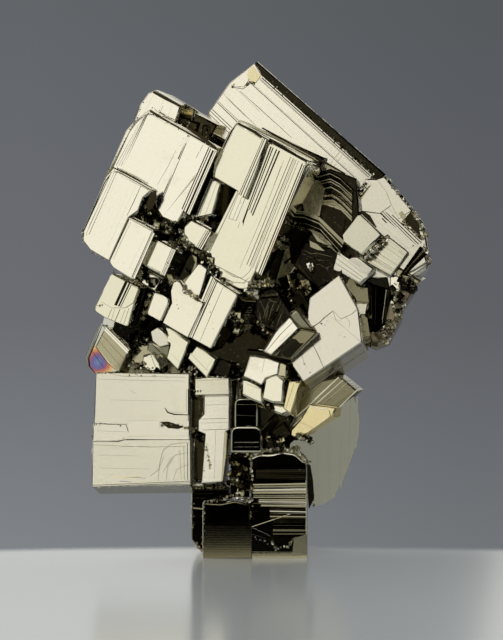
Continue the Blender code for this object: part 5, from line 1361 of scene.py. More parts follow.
lowerBlock = {"seed": 31, "lines": "across", "crystals": [
    grown((-21.8, -3, 31.6), blockTurn, [(-9.4, 5.7, 0.3), (9.4, 5.5), (9.5, -5.7), (-9.5, -5.7)], 12, tone=0.35,
        edges=(0.3, 0.25, 0.18, 0.22), density=0.3, relief=0.3,
        plates=[([(5, 2.1), (8.9, 2.3), (9, -2.3), (6.5, -2.5), (5.3, -2.2), (4.8, -1.7)], 0.12, bright)],
        cuts=[(0.55, paintedShade, 9.3, 2.3, 9.4, -2.9), (0.1, oliveTarnishAndShade, 8.4, 2.1, 8.5, -2.3),
        (0.26, paintedShade, 4.6, -1.5, 5.2, -2.4, 6.5, -2.8, 9.4, -2.9),
        (0.14, oliveTarnishAndShade, -9.1, 5.3, -7.9, 5.7, -4.1, 4.9, 8.7, 4.7), (0.07, oliveTarnishAndShade, -9.1, 4.3, -2.5, 4.1, 8.5, 3.9),
        (0.16, paintedShade, -9.9, -4.6, -6.3, -4.8, -3.1, -4.8), (0.1, oliveTarnishAndShade, -2.4, 2.1, -1.2, 1.3),
        (0.06, oliveTarnishAndShade, -6.4, 0.1, 3.6, -0.1)],
        chips=[(-9.9, -4.8, -3.1, -5, 20, 0.08, 0.25, oliveTarnishAndShade, paintedShade),
        (-9.1, 5.5, 8.7, 4.7, 30, 0.08, 0.3, bright, oliveTarnishAndShade), (-2.4, 2.7, -1, 1.1, 4, 0.08, 0.2, oliveTarnishAndShade)]),
    grown((-21.9, -4.3, 25), blockTurn, (19.4, 4.4), 12, tone=0.1, density=0.2, relief=0.3,
        plates=[([(-2.5, 2.6), (3.7, 2.6), (3.7, 1), (7.9, 0.8), (7.9, 2.6), (9.5, 2.6), (9.5, -0.4), (-2.6, -0.6)],
        0.1, bright), ([(3.7, 2.4), (5.3, 2.5), (6.9, 2), (8.7, 1.4), (7.3, 1), (5.3, 1.2)], 0.13, paintedShade,
        sharpSlopes), ([(-9.2, -1.4), (-4.6, -1.3), (-2.8, -0.6), (9.5, -0.6), (9.6, -1.3), (-2.6, -1.4),
        (-4.4, -1.9), (-9.2, -2)], 0.14, bright, sharpSlopes)],
        cuts=[(0.18, paintedShade, -3.1, 2, -2.6, 0.6, -2.4, -0.6), (0.12, oliveTarnishAndShade, -2.7, 2.6, 3.3, 2.6),
        (0.07, oliveTarnishAndShade, -8.8, 0.6, -3, 0.4)],
        chips=[(7.9, 1.6, 9.5, 1, 26, 0.15, 0.5, bright, golden, oliveTarnishAndShade),
        (3.7, 2, 7.7, 0.8, 26, 0.12, 0.4, paintedShade, oliveTarnishAndShade, broken),
        (-4.6, -1.2, -2.6, -0.6, 10, 0.1, 0.3, bright, oliveTarnishAndShade)]),
    grown((-21.7, -6.2, 19.4), blockTurn, [(-9.9, 4.4), (-4.8, 4.4), (-3.6, 4.7), (9.7, 4.7, 0.3), (9.9, -4.4, 0.3),
        (-9.9, -4.7, 0.3)], 12, tone=0.5, edges=(0.3, 0.25, 0.18, 0.22), density=0.25, relief=0.3,
        grooves=[(-9.6, -4.3, 9.6, -3.4, -9.6, -4.9, 9.6, -4, 3, 0.04, 0.3)],
        cuts=[(0.09, oliveTarnishAndShade, 3.3, -3.7, 3.6, 0.1, 4.2, 2.5, 5.7, 3.7, 9.3, 4.1),
        (0.08, oliveTarnishAndShade, 4.9, -3.7, 5.2, -0.7, 6.6, 1.5, 9.3, 2.1), (0.07, oliveTarnishAndShade, 6.3, -3.6, 7, -1.3, 9.4, -0.2),
        (0.07, oliveTarnishAndShade, -9.8, 4.1, -4.8, 4.1, -3, 4.7, 9.1, 4.5), (0.06, oliveTarnishAndShade, -8.9, 1.5, -0.4, 1.3),
        (0.06, oliveTarnishAndShade, -8.3, -1.1, 1.7, -1.3), (0.22, golden, -5.5, -2.7, -3.5, -3.1, -0.3, -2.7),
        (0.16, rainbow, -4.3, -3.7, -2.1, -3.9), (0.1, paintedShade, -2.1, -2.9, 0.9, -3.1),
        (0.22, paintedShade, 9, 3.9, 9.2, -3.8), (0.12, oliveTarnishAndShade, 8.3, 3.3, 8.5, -3.4), (0.08, oliveTarnishAndShade, 7.5, 2.5, 7.9, -3.4),
        (0.1, oliveTarnishAndShade, 1.7, -2.7, 3.3, -1.5, 4.4, 1.3), (0.09, oliveTarnishAndShade, 4.3, -1.9, 5.6, 0.5, 6, 1.3),
        (0.09, oliveTarnishAndShade, -9.8, 3.5, 1.6, 3.1, 8.7, 3.3), (0.08, oliveTarnishAndShade, -4.4, 3.1, 1.6, 3.3)]),
    grown((-7.8, -2.2, 25.7), columnTurn, [(-1.6, 8.2), (3.6, 8.1), (3.4, 0.1), (2.8, -0.3), (2, -10.4),
        (-2.3, -10.6), (-1.5, -0.8), (-2.9, -0.2), (-2.9, 2.4), (-1.7, 3.6)], 12, tone=0.1, density=0.1, relief=0.3,
        plates=[([(2.4, -0.4), (2.9, -0.5), (2.7, -5), (2, -10.2), (1.7, -10.2)], 0.05, oliveTarnishAndShade, sharpSlopes)],
        cuts=[(0.12, oliveTarnishAndShade, -1.8, 5, 3, 5.1), (0.12, paintedShade, -2.3, 2.2, 3.1, 2.3), (0.09, oliveTarnishAndShade, -2.5, 1.4, 3.1, 1.5),
        (0.14, paintedShade, -1.9, 0, 2.9, 0.1), (0.1, oliveTarnishAndShade, -1.1, -2.8, -0.5, -8), (0.07, oliveTarnishAndShade, 0.7, 0, 0.3, -10)],
        chips=[(-1.3, -3.2, -0.3, -7.8, 40, 0.12, 0.4, oliveTarnishAndShade, bright, golden),
        (-1.7, -0.2, -1.7, -10.2, 20, 0.1, 0.3, oliveTarnishAndShade, paintedShade)]),
    grown((-7.85, -2.7, 34.5), columnTurn, (7, 3.7), 10, density=0.2, relief=0.3,
        cuts=[(0.1, oliveTarnishAndShade, -3.7, 1.1, 2.9, 1.2)],
        chips=[(-3.7, 1.7, 3.1, 1.8, 20, 0.1, 0.35, bright, oliveTarnishAndShade),
        (-3.7, -0.9, -2.1, -1.1, 16, 0.12, 0.4, oliveTarnishAndShade, paintedShade)]),
    grown((-10.6, 1.4, 26), columnTurn, (8, 21), 12, frontSlot=paintedShade, density=0,
        cuts=[(0.2, bright, -0.9, -1, -1, -10.9), (0.12, oliveTarnishAndShade, 0.1, 7.2, 0.1, 2.8),
        (0.12, oliveTarnishAndShade, 0.7, -1.7, 0.6, -10.5)]),
], "rubble": [
    ((-18, -4.3, 26.8), (-13.8, -4.3, 26.6), 30, (0.12, 0.5), blockTurn, (0.1, 0.2, 0.4),
        (paintedShade, oliveTarnishAndShade, golden, bright)),
    ((-12.5, -1, 34.8), (-11.5, -1, 33.2), 24, (0.3, 1), columnTurn, (0.4, 0.6, 0.7), (paintedShade, oliveTarnishAndShade, broken)),
    ((-11.7, -1, 25.6), (-9.7, -1, 23.6), 24, (0.3, 1), columnTurn, (0.4, 0.6, 0.7), (paintedShade, oliveTarnishAndShade, paintedShade)),
]}

smallLeftCrystals = {"seed": 37, "crystals": [
    grown((-27.9, -1, 41.8), (40, 12, -6), [(-4, 2.7), (2.9, 2.1), (4.2, -2.7), (1, -2.8), (-3, -1.9)], 12,
        edges=(0.5, 0.25, 0.3, 0.3), density=0, slot=oliveTarnishAndShade, tone=0.5,
        fans=[(-3.8, 2.6, 2.9, 2.1, -3.6, 1.8, 3.1, 1.2, 2, 0.03, 0.2, bright)],
        cuts=[(0.1, paintedShade, -3.4, 0.9, 3.2, 0.1), (0.08, paintedShade, -3.1, -0.4, 3.5, -1.5),
        (0.2, golden, -2.9, -1.6, 1.1, -2.5, 3.8, -2.5)],
        chips=[(-4, 2.9, 2.9, 2.4, 16, 0.1, 0.35, oliveTarnishAndShade, bright)]),
    grown((-29.6, 1, 40.7), (30, 16, 0), [(-3.8, 5.1), (-2, 5), (0.5, 2.5), (4.8, -1.4), (0.5, -4.3), (-1.7, -3.6),
        (-2.7, -2.3), (-3.2, 1.3)], 12, slot=rainbow, edges=(0.3, 0.25, 0.3, 0.5), density=0.3, relief=0.4,
        cuts=[(0.2, oliveTarnishAndShade, -3.9, 4.4, -3.4, 0.8, -2.9, -2.4, -1.6, -3.8),
        (0.1, paintedShade, -2.8, -0.5, -0.9, -1.3, 1.5, -2.3)]),
    grown((-23.6, 3.4, 44.4), (12, -14, -8), (9, 9), 12, frontSlot=paintedShade, density=0.3),
    grown((-15, 5, 44), (20, 10, -8), (14, 12), 12, frontSlot=paintedShade, density=0.3),
    grown((-20, 4, 38.6), (4, 4, 6), (12, 5), 10, slot=oliveTarnishAndShade, tone=0.9, density=0.5),
    grown((-17.6, -1.4, 44.6), (24, 12, 6),
        [(-2.8, -0.4), (-1.6, 1.3), (0.9, 0.4), (1.9, -1.3), (0.4, -2.5), (-1.6, -2)], 8, density=0.3, relief=0.4,
        slot=oliveTarnishAndShade, frontSlot=bright),
    grown((-17.4, -1, 42.2), (20, 0, -20),
        [(-3.3, 0.1), (-0.9, -0.1), (0.9, 0.8), (1.7, -2.3), (-0.5, -2.5), (-3.1, -1.9)], 8, slot=oliveTarnishAndShade, tone=0.15,
        density=0.5, relief=0.5,
        cuts=[(0.2, paintedShade, -2.5, -0.3, -0.5, -1.3, 1.4, -1.7), (0.14, bright, -3, -1.4, -0.9, -2.1)]),
    grown((-15.9, -2, 42.3), smallTurn,
        [(-3.9, 3.2), (2.6, 2.8), (3.5, -3.4), (0.2, -2.5), (-0.5, 0.1), (-2.2, 1.9)], 12, tone=1, density=0.3,
        relief=0.4, slot=oliveTarnishAndShade, frontSlot=bright,
        fans=[(-1.7, 1.5, 2.3, 2.2, -1.4, 0.5, 2.7, 0.7, 1, 0.06, 0.3, bright),
        (0.4, -2.2, 3.2, -2.9, 0.5, -1.2, 3, -1.8, 1, 0.05, 0.2, bright)]),
    grown((-19.2, -1.4, 40.2), (24, 13, -6),
        [(-2.5, -0.6), (-0.9, 0.5), (1, -0.4), (2.1, -1.9), (-0.3, -3.2), (-2, -2.4)], 8, slot=oliveTarnishAndShade,
        frontSlot=bright, tone=0.9, density=0.3, cuts=[(0.14, paintedShade, -1, 0, 1.1, -2.1)]),
    grown((-18, -1, 39.2), (36, -6, 4), [(-1.2, 1.4), (1.4, 1.2), (1, -1.4), (-1.4, -1)], 8, slot=oliveTarnishAndShade, tone=0.3,
        density=0.5),
    grown((-10, -2.2, 39.7), adjusted(smallTurn, roll=6), [(-2.4, 1.9), (2.4, 2.1), (3.1, -2.3), (-2.5, -1.4)], 12,
        tone=1, density=0.3, relief=0.4, slot=oliveTarnishAndShade, frontSlot=bright,
        fans=[(-2.3, -1, 2.5, -1.8, -2.5, -0.1, 2.3, -0.9, 1, 0.12, 0.4, bright)]),
    grown((-6, -0.4, 38.1), adjusted(smallTurn, roll=-14), (3.8, 3.4), 10, slot=paintedShade, density=0.3),
    grown((-21.4, 1, 40.6), (10, 12, 6), (5, 4.4), 10, slot=oliveTarnishAndShade, tone=0.4),
], "rubble": [
    ((-24.3, -0.5, 38.8), (-17.3, -0.5, 37.2), 44, (0.25, 0.8), smallTurn, (0.8, 0.9, 0.7),
        (oliveTarnishAndShade, paintedShade, bright, broken)),
    ((-24.7, 0.6, 41.2), (-21.1, 0.6, 43.6), 30, (0.3, 1), smallTurn, (0.9, 0.8, 0.9), (paintedShade, oliveTarnishAndShade, paintedShade)),
    ((-13.7, -0.6, 37.2), (-10.7, -0.6, 37.6), 60, (0.25, 1), smallTurn, (0.6, 0.7, 0.7), (oliveTarnishAndShade, bright, paintedShade)),
    ((-14.7, -0.4, 38), (-12.3, -0.4, 41.6), 40, (0.25, 0.9), smallTurn, (0.4, 0.6, 0.6), (oliveTarnishAndShade, paintedShade)),
    ((-3.9, 0.5, 38.4), (-1.5, 0.5, 36.8), 40, (0.3, 1.2), smallTurn, (0.7, 0.8, 0.7), (paintedShade, paintedShade, oliveTarnishAndShade)),
]}


def shadeFadeBand(count, height):
    # fine stripes of painted shade that thin out from the top line to the bottom one, so the band grows lighter
    # downwards
    profile = [(0.0, 0.0)]
    tints = []
    for step in range(count):
        share = (step + 1) / count
        middle = (step + 1 - share ** 1.4) / count
        profile += [(middle, height * middle ** 2), (share, height * share ** 2)]
        tints += [paintedShade, oliveTarnishAndShade]
    return profile, tints


# the foot: its fronts are near-black as painted shade, within bright or dimmed rounded rims
footBlocks = {"seed": 41, "lines": "across", "crystals": [
    grown((5.4, 0, 9), footTurn, [(-5.7, 11.1), (-4, 11.9, 0.8), (-1.5, 11.8, 0.8), (0.6, 12.4, 0.8),
        (3.4, 12, 0.8), (5.7, 10, 0.8), (5.7, -11), (-5.7, -11)], 25, sideDeep=22, frontSlot=paintedShade, rimSlot=bright,
        density=0.25, relief=0.4, edges=(0.5, 0.3, 0.1, 0.2),
        fans=[(-4.5, 8.6, 5.5, 8.8, -4.5, 6.8, 5.5, 6.6, 4, 0.05, 0.5, paintedShade),
        (-5.1, 5.8, 5.5, 6, -5.1, 3, 5.5, 3, 8, 0.07, 0.35, oliveTarnishAndShade, oliveTarnishAndShade, bright),
        (-3.9, 2.9, 5.5, 2.9, -3.9, 1.2, 5.5, 1, 5, 0.07, 0.35, oliveTarnishAndShade, oliveTarnishAndShade, bright),
        (-1.7, 1, 5.5, 0.8, -1.7, -1.6, 5.5, -1.6, 8, 0.07, 0.45, oliveTarnishAndShade, paintedShade, oliveTarnishAndShade, bright),
        (-1.1, -1.7, 5.5, -1.7, -1.1, -4.4, 5.5, -4.4, 9, 0.06, 0.5, oliveTarnishAndShade, oliveTarnishAndShade, paintedShade),
        (-4.1, 2.8, -1.7, 2.8, -4.1, 2, -1.7, 1.9, 2, 0.05, 0.4, oliveTarnishAndShade)],
        bands=[(-5.7, 2, -3.3, 2, -5.7, 0, -4.1, 0.2, [(0, 0), (0.1, 0.15), (0.8, 0.2), (1, 0)],
        [oliveTarnishAndShade, paintedShade, paintedShade]),
        (-5.7, -2.6, 2.3, 0, -5.7, -3.1, 2.3, -0.4, [(0, 0), (0.7, 0.06), (1, 0)], [oliveTarnishAndShade, paintedShade]), (-5.1, -2.8,
        -1.7, -4.4, -5.1, -3.1, -1.7, -4.7, [(0, 0), (0.7, 0.1), (1, 0)], [bright, paintedShade]),
        (-5.5, -4, -2.5, -5, -5.5, -4.2, -2.5, -5.2, [(0, 0), (0.7, 0.1), (1, 0)], [bright, paintedShade]),
        (3.1, -5, 5.7, -4.2, 2.7, -8.8, 5.7, -8.8, [(0, 0.35), (0.5, 0.2), (1, 0)], [oliveTarnishAndShade, oliveTarnishAndShade]),
        (-5.3, -6, 5.7, -6.4, -5.3, -9, 5.7, -9, *shadeFadeBand(10, 0.2))],
        chips=[(-5.7, 11.6, -3.3, 12.4, 60, 0.15, 0.6, bright, broken),
        (-3.3, 12.4, 0.3, 13, 70, 0.15, 0.6, bright, broken), (0.3, 13, 4.3, 12, 80, 0.15, 0.6, bright, broken),
        (4.3, 12, 5.9, 10, 60, 0.15, 0.6, bright, broken),
        (-5.5, 11.4, -5.3, 2.6, 60, 0.15, 0.6, bright, broken, oliveTarnishAndShade),
        (-5.5, 2.6, -5.7, -8.8, 70, 0.15, 0.5, bright, broken, oliveTarnishAndShade),
        (-1.5, -4.8, -0.5, -7, 26, 0.15, 0.6, bright, paintedShade), (-0.5, -7, 1.9, -6.8, 24, 0.15, 0.6, bright, paintedShade),
        (1.9, -6.8, 3.5, -4.8, 24, 0.15, 0.6, bright, broken),
        (-4.7, -5, -1.3, -6.2, 24, 0.15, 0.5, bright, paintedShade)]),
    grown((-5, -0.5, 4.6), footTurn,
        [(-4.7, 6.5), (-1.2, 6.3, 0.6), (1.6, 6.9, 0.6), (4.7, 6.2), (4.7, -6.3), (-4.7, -6.3)], 24, sideDeep=21,
        tone=1, frontSlot=paintedShade, rimSlot=oliveTarnishAndShade, density=0.3, relief=0.4, edges=(0.35, 0.2, 0.1, 0.2),
        bands=[(-4.6, 3.2, 5, 3.2, -4.6, -4.6, 5, -4.5, *shadeFadeBand(22, 0.5))],
        chips=[(-4.5, 6.4, -0.9, 7.2, 60, 0.15, 0.55, bright, broken, paintedShade),
        (-0.9, 7.2, 2.7, 8.4, 60, 0.15, 0.6, bright, broken, paintedShade),
        (1.9, 7.8, 4.7, 6.6, 50, 0.15, 0.6, bright, broken, paintedShade),
        (-4.3, 7, -4.7, -4.2, 40, 0.12, 0.35, bright, broken, oliveTarnishAndShade)]),
    grown((-6.9, 3.4, 8.6), footTurn, [(-5.2, 5.5), (2.3, 5.6), (2.3, -8.4), (-2.4, -8.4), (-5.2, -5.2)], 22,
        sideDeep=20, tone=0.8, frontSlot=paintedShade, rimSlot=oliveTarnishAndShade, density=0.2, relief=0.4, sideDensity=3,
        fans=[(-4.9, 1.3, -2.7, 1.1, -4.9, 1, -2.7, 0.8, 1, 0.05, 0.3, oliveTarnishAndShade),
        (-4.5, 5, 2.2, 5, -4.5, 3, 2.2, 3.2, 3, 0.04, 0.25, paintedShade)],
        chips=[(-4.9, 5, 2.4, 5.4, 34, 0.15, 0.5, oliveTarnishAndShade, broken, paintedShade),
        (-4.8, 4.8, -4.8, -5.3, 24, 0.12, 0.4, oliveTarnishAndShade, broken),
        (-4.7, -5.5, -2.6, -7.9, 26, 0.15, 0.5, oliveTarnishAndShade, broken)]),
    grown((-1.6, 3, 19), footTurn, (5, 14), 16, slot=paintedShade),
    grown((-1.1, 0, 28.8), footTurn, [(-2.4, 3.2, 1.5), (2.4, 3.2, 1.3), (2.4, -3.2), (-2.4, -3.2)], 12, slot=oliveTarnishAndShade,
        frontSlot=paintedShade, rimSlot=bright, density=0, edges=(0.35, 0.35, 0.35, 0.35),
        cuts=[(0.12, oliveTarnishAndShade, -2.3, 1.9, 2.1, 1.9), (0.09, oliveTarnishAndShade, -2.1, -0.2, 2.1, -0.4)]),
    grown((-1.1, -1, 23.7), footTurn, [(-3.2, 2.7, 1.7), (3.2, 2.7, 1.7), (3.2, -2.6, 0.5), (-3.2, -2.6)], 14,
        slot=oliveTarnishAndShade, frontSlot=paintedShade, rimSlot=bright, density=0, edges=(0.4, 0.4, 0.4, 0.4),
        fans=[(-2.3, -0.4, 2.5, -0.4, -2.3, -0.6, 2.5, -0.6, 1, 0.08, 0.3, bright),
        (-2.3, -1.4, 2.5, -1.4, -2.3, -1.5, 2.5, -1.5, 1, 0.06, 0.3, bright)]),
    grown((3.6, 1, 26.4), (30, 10, -10), (7, 8), 12, slot=paintedShade, lines="up"),
    grown((3.8, 0.2, 26.4), (-46, -6, 2), [(-4.6, 0.9), (3.6, 1.3), (4.4, -0.6), (-3.6, -1.1)], 8, slot=paintedShade,
        density=3),
    grown((5.6, -0.6, 24.4), (-40, 4, -8), [(-2.6, 1.4), (2.4, 1.6), (2.2, -1.2), (-2.8, -1)], 8, slot=paintedShade,
        density=3),
], "rubble": [
    ((-3.9, 0.6, 20.8), (-0.9, 0.6, 20.8), 40, (0.3, 1.1), footTurn, (0.7, 0.8, 0.5), (paintedShade, paintedShade, paintedShade, golden)),
    ((-3.9, 0.8, 19.2), (-0.9, 0.8, 16), 60, (0.3, 1.2), footTurn, (0.8, 0.9, 1.4), (paintedShade, paintedShade, paintedShade, golden)),
    ((-4.3, 0.6, 16), (-0.5, 0.6, 13.2), 60, (0.3, 1.1), footTurn, (0.8, 0.9, 1.2), (paintedShade, paintedShade, oliveTarnishAndShade, golden)),
    ((2.5, -1, 25.2), (6.5, -1, 22.4), 40, (0.3, 1), footTurn, (0.6, 0.8, 0.7), (paintedShade, paintedShade, golden)),
    ((9.1, -2, 24.5), (11.9, -2, 23.5), 40, (0.25, 0.9), lensTurn, (0.4, 0.5, 0.5), (bright, paintedShade, broken)),
]}


upperBack = fromBehind(upperTurn)
plateBack = fromBehind(plateTurn)
rightBack = fromBehind(rightTurn)
blockBack = fromBehind(adjusted(blockTurn, yaw=8))
centreBack = fromBehind((-12.0, -10.0, 5.0))


def stepped(seed, at, turn, width, height, depth=9.0, lines="up", swing=7.0):
    # a crystal of the far side with growth terraces, a run of grooves and fine seams
    chance = random.Random(seed)
    turn = adjusted(turn, yaw=chance.uniform(-swing, swing), lean=chance.uniform(-8.0, 1.0))
    half, tall = width / 2, height / 2
    notch = chance.uniform(0.12, 0.3)
    outline = [(-half, tall, 0.4), (half * (1.0 - notch), tall, 0.3), (half, tall * (1.0 - notch), 0.3),
        (half, -tall, 0.4), (-half * 0.9, -tall, 0.3), (-half, -tall * 0.8, 0.3)]
    plates = []
    inner, low = half * 0.86, tall * 0.86
    for step in range(3):
        cut = chance.uniform(-0.3, 0.5)
        shape = [(-inner, low), (inner * cut, low), (inner * cut, low * 0.4), (inner, low * 0.3),
            (inner * 0.94, -low), (-inner, -low * 0.9)]
        if chance.random() < 0.5:
            shape = [(-x, y) for x, y in reversed(shape)]
        plates.append((shape, 0.12 + 0.1 * step, bright))
        inner *= chance.uniform(0.62, 0.85)
        low *= chance.uniform(0.68, 0.88)
    near = chance.uniform(-0.8, 0.3)
    first, firstFar, lastFar = near, near + 0.45, near + 0.4
    if lines == "up":
        corners = (half * first, tall * 0.9, half * first, -tall * 0.9,
            half * firstFar, tall * 0.9, half * lastFar, -tall * 0.9)
    else:
        corners = (-half * 0.9, tall * first, half * 0.9, tall * first,
            -half * 0.9, tall * firstFar, half * 0.9, tall * lastFar)
    cuts = []
    # the seams are near-black or dimmed as painted shade
    for _ in range(4):
        x, y = chance.uniform(-0.8, 0.5) * half, chance.uniform(-0.8, 0.5) * tall
        cuts.append((0.1, chance.choice((paintedShade, oliveTarnishAndShade)), x, tall * 0.95, x + half * 0.04, y + tall * 0.2,
            x + half * 0.14, y, half * 0.95, y - tall * 0.03))
    chips = [(-half, -tall, -half, tall, int(height * 2), 0.15, 0.5, bright, oliveTarnishAndShade, paintedShade),
        (-half, tall, half, tall, int(width * 2), 0.15, 0.5, bright, oliveTarnishAndShade, broken)]
    return grown(at, turn, outline, depth, lines=lines, density=1.2, relief=0.9, sideDensity=3.0,
        plates=plates, grooves=[(*corners, 5, 0.42, 0.3)], cuts=cuts, chips=chips)


# their fronts, seen only through gaps between the crystals in front, are near-black as painted shade
backOfTop = {"seed": 43, "crystals": [
    grown((-12, 4.5, 86.6), upperTurn, (9, 5.4), 14, frontSlot=paintedShade),
    grown((-11, 8, 77), upperTurn, (20, 18), 18, frontSlot=paintedShade),
    grown((2, 8, 72), adjusted(upperTurn, roll=-3), (17, 26), 20, frontSlot=paintedShade),
    grown((12, 14, 78), plateTurn, (24, 11), 12, frontSlot=paintedShade, lines="across"),
    grown((18, 9, 60), rightTurn, (18, 17), 19, frontSlot=paintedShade, lines="across"),
], "terraced": (101, [
    ((2.6, 30.2, 74), upperBack, 11, 15),
    ((-9.6, 29, 83), upperBack, 8.6, 8),
    ((-18.4, 27.2, 73.6), upperBack, 7.6, 10.4),
    ((-9, 28.6, 70), upperBack, 6.6, 7.2),
    ((-5.4, 30.4, 62.4), upperBack, 7.6, 6.2),
    ((15.6, 28, 80.6), plateBack, 11, 6.4, 8, "across"),
    ((10.6, 28.4, 70.8), plateBack, 6.4, 6, 9, "across"),
    ((21.6, 30.2, 64.2), rightBack, 8.4, 9, 9, "across"),
    ((16.6, 31, 57.4), rightBack, 6, 6.8, 9, "across"),
    ((27.6, 26.6, 56.4), rightBack, 5.8, 7, 9, "across"),
    ((3.2, 22.4, 91), plateBack, 9, 6.4, 6, "across"),
    ((-13.6, 27.4, 79), upperBack, 5, 7.6, 8),
    ((-14, 27, 66.6), upperBack, 6.8, 6, 8),
    ((9.6, 29.8, 63), adjusted(upperBack, roll=-3), 6.2, 7.4, 8),
    ((22.6, 25.6, 74.4), plateBack, 8, 5.4, 7, "across"),
    ((27, 27.4, 65.4), rightBack, 5.4, 6, 8, "across"),
]), "rubble": [
    ((-3, 27.4, 66.8), (8, 28.4, 58.6), 60, (0.4, 1.5), upperBack, (1, 0.8, 1), (bright, oliveTarnishAndShade, paintedShade, broken)),
    ((8.6, 27, 76), (17, 27.4, 67), 50, (0.4, 1.4), plateBack, (1, 0.8, 1), (bright, oliveTarnishAndShade, paintedShade, broken)),
]}

# their fronts, seen only through gaps between the crystals in front, are near-black as painted shade
backOfMiddle = {"seed": 47, "crystals": [
    grown((-16, 8, 59), adjusted(upperTurn, yaw=4), (18, 20), 15, frontSlot=paintedShade),
    grown((2, 6, 48), (-12, -10, 5), (26, 22), 23, frontSlot=paintedShade),
    grown((14, 9, 43), (25, -12, -8), (15, 14), 17, frontSlot=paintedShade),
], "terraced": (121, [
    ((-4, 31.4, 49), centreBack, 11, 12),
    ((-20.6, 25.6, 60.4), upperBack, 7.8, 9),
    ((-13, 26.6, 54.6), adjusted(upperBack, roll=-3), 6.2, 8.6),
    ((9.2, 32, 44), centreBack, 7.4, 9.4),
    ((13.2, 28.4, 38), (25, 168, 8), 7, 6),
    ((3.4, 31.6, 54.2), centreBack, 6.8, 5.4, 8),
    ((-6.4, 30.6, 40.4), centreBack, 6.6, 5.6, 8),
    ((18.4, 27.4, 45.6), (25, 168, 8), 5.6, 6.6, 8),
    ((-17, 22.6, 49), upperBack, 6.4, 5.4, 8),
]), "rubble": [
    ((-11, 27.4, 58), (-10, 28.4, 44), 70, (0.4, 1.6), centreBack, (0.9, 0.8, 1), (bright, oliveTarnishAndShade, paintedShade, broken)),
    ((2, 29.4, 39.4), (12, 28.4, 36.4), 50, (0.4, 1.4), centreBack, (0.9, 0.8, 0.8), (bright, oliveTarnishAndShade, paintedShade, broken)),
]}

# their fronts, seen only through gaps between the crystals in front, are near-black as painted shade
backOfFoot = {"seed": 53, "lines": "across", "crystals": [
    grown((-13, 6, 33), adjusted(blockTurn, yaw=8), (20, 19), 15, frontSlot=paintedShade),
    grown((5, 4, 30), (8, 5, 0), (15, 22), 20, frontSlot=paintedShade),
], "terraced": (131, [
    ((-18.4, 23.4, 30), blockBack, 8.8, 9.6, 8, "across"),
    ((-8.8, 26, 37.4), blockBack, 7.4, 6.6, 9, "across"),
    ((8, 27, 30.4), (8, 185, 0), 7.6, 8.8, 9, "across"),
    ((1, 26.4, 22), (8, 185, 0), 6, 6.4, 9, "across"),
    ((6.2, 26.6, 10.6), fromBehind(footTurn), 6.8, 8.2, 8, "across", 3),
    ((-10.6, 22.6, 28), blockBack, 5.6, 6.8, 8, "across"),
    ((-24.4, 14, 32), (2, 92, 0), 9, 10, 7, "across"),
    ((-31.4, 3.6, 21.4), (0, 94, 0), 7, 5.6, 4, "across", 2),
    ((-23, 12, 58), adjusted(upperTurn, yaw=78), 8, 9, 8),
    ((-11.75, 15, 5.6), (0, 91, 3), 12, 8.2, 4, "across", 1),
    ((-7.6, 25.9, 6.8), fromBehind(footTurn), 7, 9.6, 5, "across", 2),
    ((8, 25.7, 3.4), fromBehind(footTurn), 5.6, 5.2, 4, "across", 2),
    ((-20.4, 18.2, 22.6), blockBack, 6.4, 5, 6, "across"),
]), "rubble": [
    ((-3.6, 24.4, 34), (-2, 24.8, 20), 60, (0.4, 1.5), blockBack, (0.9, 0.8, 1), (bright, oliveTarnishAndShade, paintedShade, broken)),
]}

allPieces = [
    ("upper_left_cubes", upperLeftCubes),
    ("middle_cubes", middleCubes),
    ("long_front_cube", longFrontCube),
    ("tilted_plate", tiltedPlate),
    ("right_cluster", rightCluster),
    ("deep_recess", deepRecess),
    ("tilted_block", tiltedBlock),
    ("heart_cubes", heartCubes),
    ("shell_broken_cube", shellBrokenCube),
    ("lower_block", lowerBlock),
    ("small_left_crystals", smallLeftCrystals),
    ("foot_blocks", footBlocks),
    ("back_of_top", backOfTop),
    ("back_of_middle", backOfMiddle),
    ("back_of_foot", backOfFoot),
]
for name, recipe in allPieces:
    buildPiece(name, recipe)

studio = {
    "tableRadius": 0.7,
    "floorCentre": (0.0, -0.2),
    "floorRadius": 0.206,
    "floorFade": 0.014,
    "floorColour": (0.80, 0.86, 0.88),
    "floorRoughness": 0.16,
    "floorGlow": 0.05,
    "glowColour": (0.94, 1.0, 1.05),
    "tint": (0.98, 1.0, 1.04),  # of the light from all round
    "aim": Vector((0.0, 0.0, 0.052)),
    "backdrop": (  # colours from well below the horizon to well above it
        (0.0, (0.30, 0.325, 0.335)),
        (0.2, (0.24, 0.26, 0.27)),
        (0.34, (0.19, 0.203, 0.214)),
        (0.5, (0.132, 0.137, 0.15)),
        (0.62, (0.12, 0.126, 0.138)),
        (0.72, (0.108, 0.117, 0.125)),
        (1.0, (0.10, 0.108, 0.116)),
    ),
    "horizon": (-0.25, 0.25),  # how far below and above it the backdrop's colours run
    "sideways": (-0.08, 0.08, 1.13, 0.87),  # the backdrop darkens from left to right
    "behind": (-0.5, 0.6, 0.02, 0.16),  # light from all round grows from the camera's side to the rear
    "panels": (  # azimuth, elevation, width and height in degrees, distance, strength and colour
        ("left panel", -25.5, 4.0, 33.0, 24.0, 1.1, 1.08, (1.0, 0.985, 0.95)),
        ("upper left panel", -25.5, 33.0, 33.0, 33.0, 1.1, 0.82, (1.0, 0.985, 0.95)),
        ("upper panel", 5.5, 33.0, 28.0, 48.0, 1.1, 0.82, (1.0, 0.985, 0.95)),
        ("rear panel", 150.0, 28.0, 50.0, 50.0, 1.2, 0.6, (1.0, 0.97, 0.9)),
        ("far left panel", -120.0, 45.0, 50.0, 50.0, 1.2, 0.75, (1.0, 0.98, 0.92)),
        ("far rear panel", -160.0, 24.0, 42.0, 46.0, 1.2, 0.55, (1.0, 0.98, 0.92)),
    ),
}


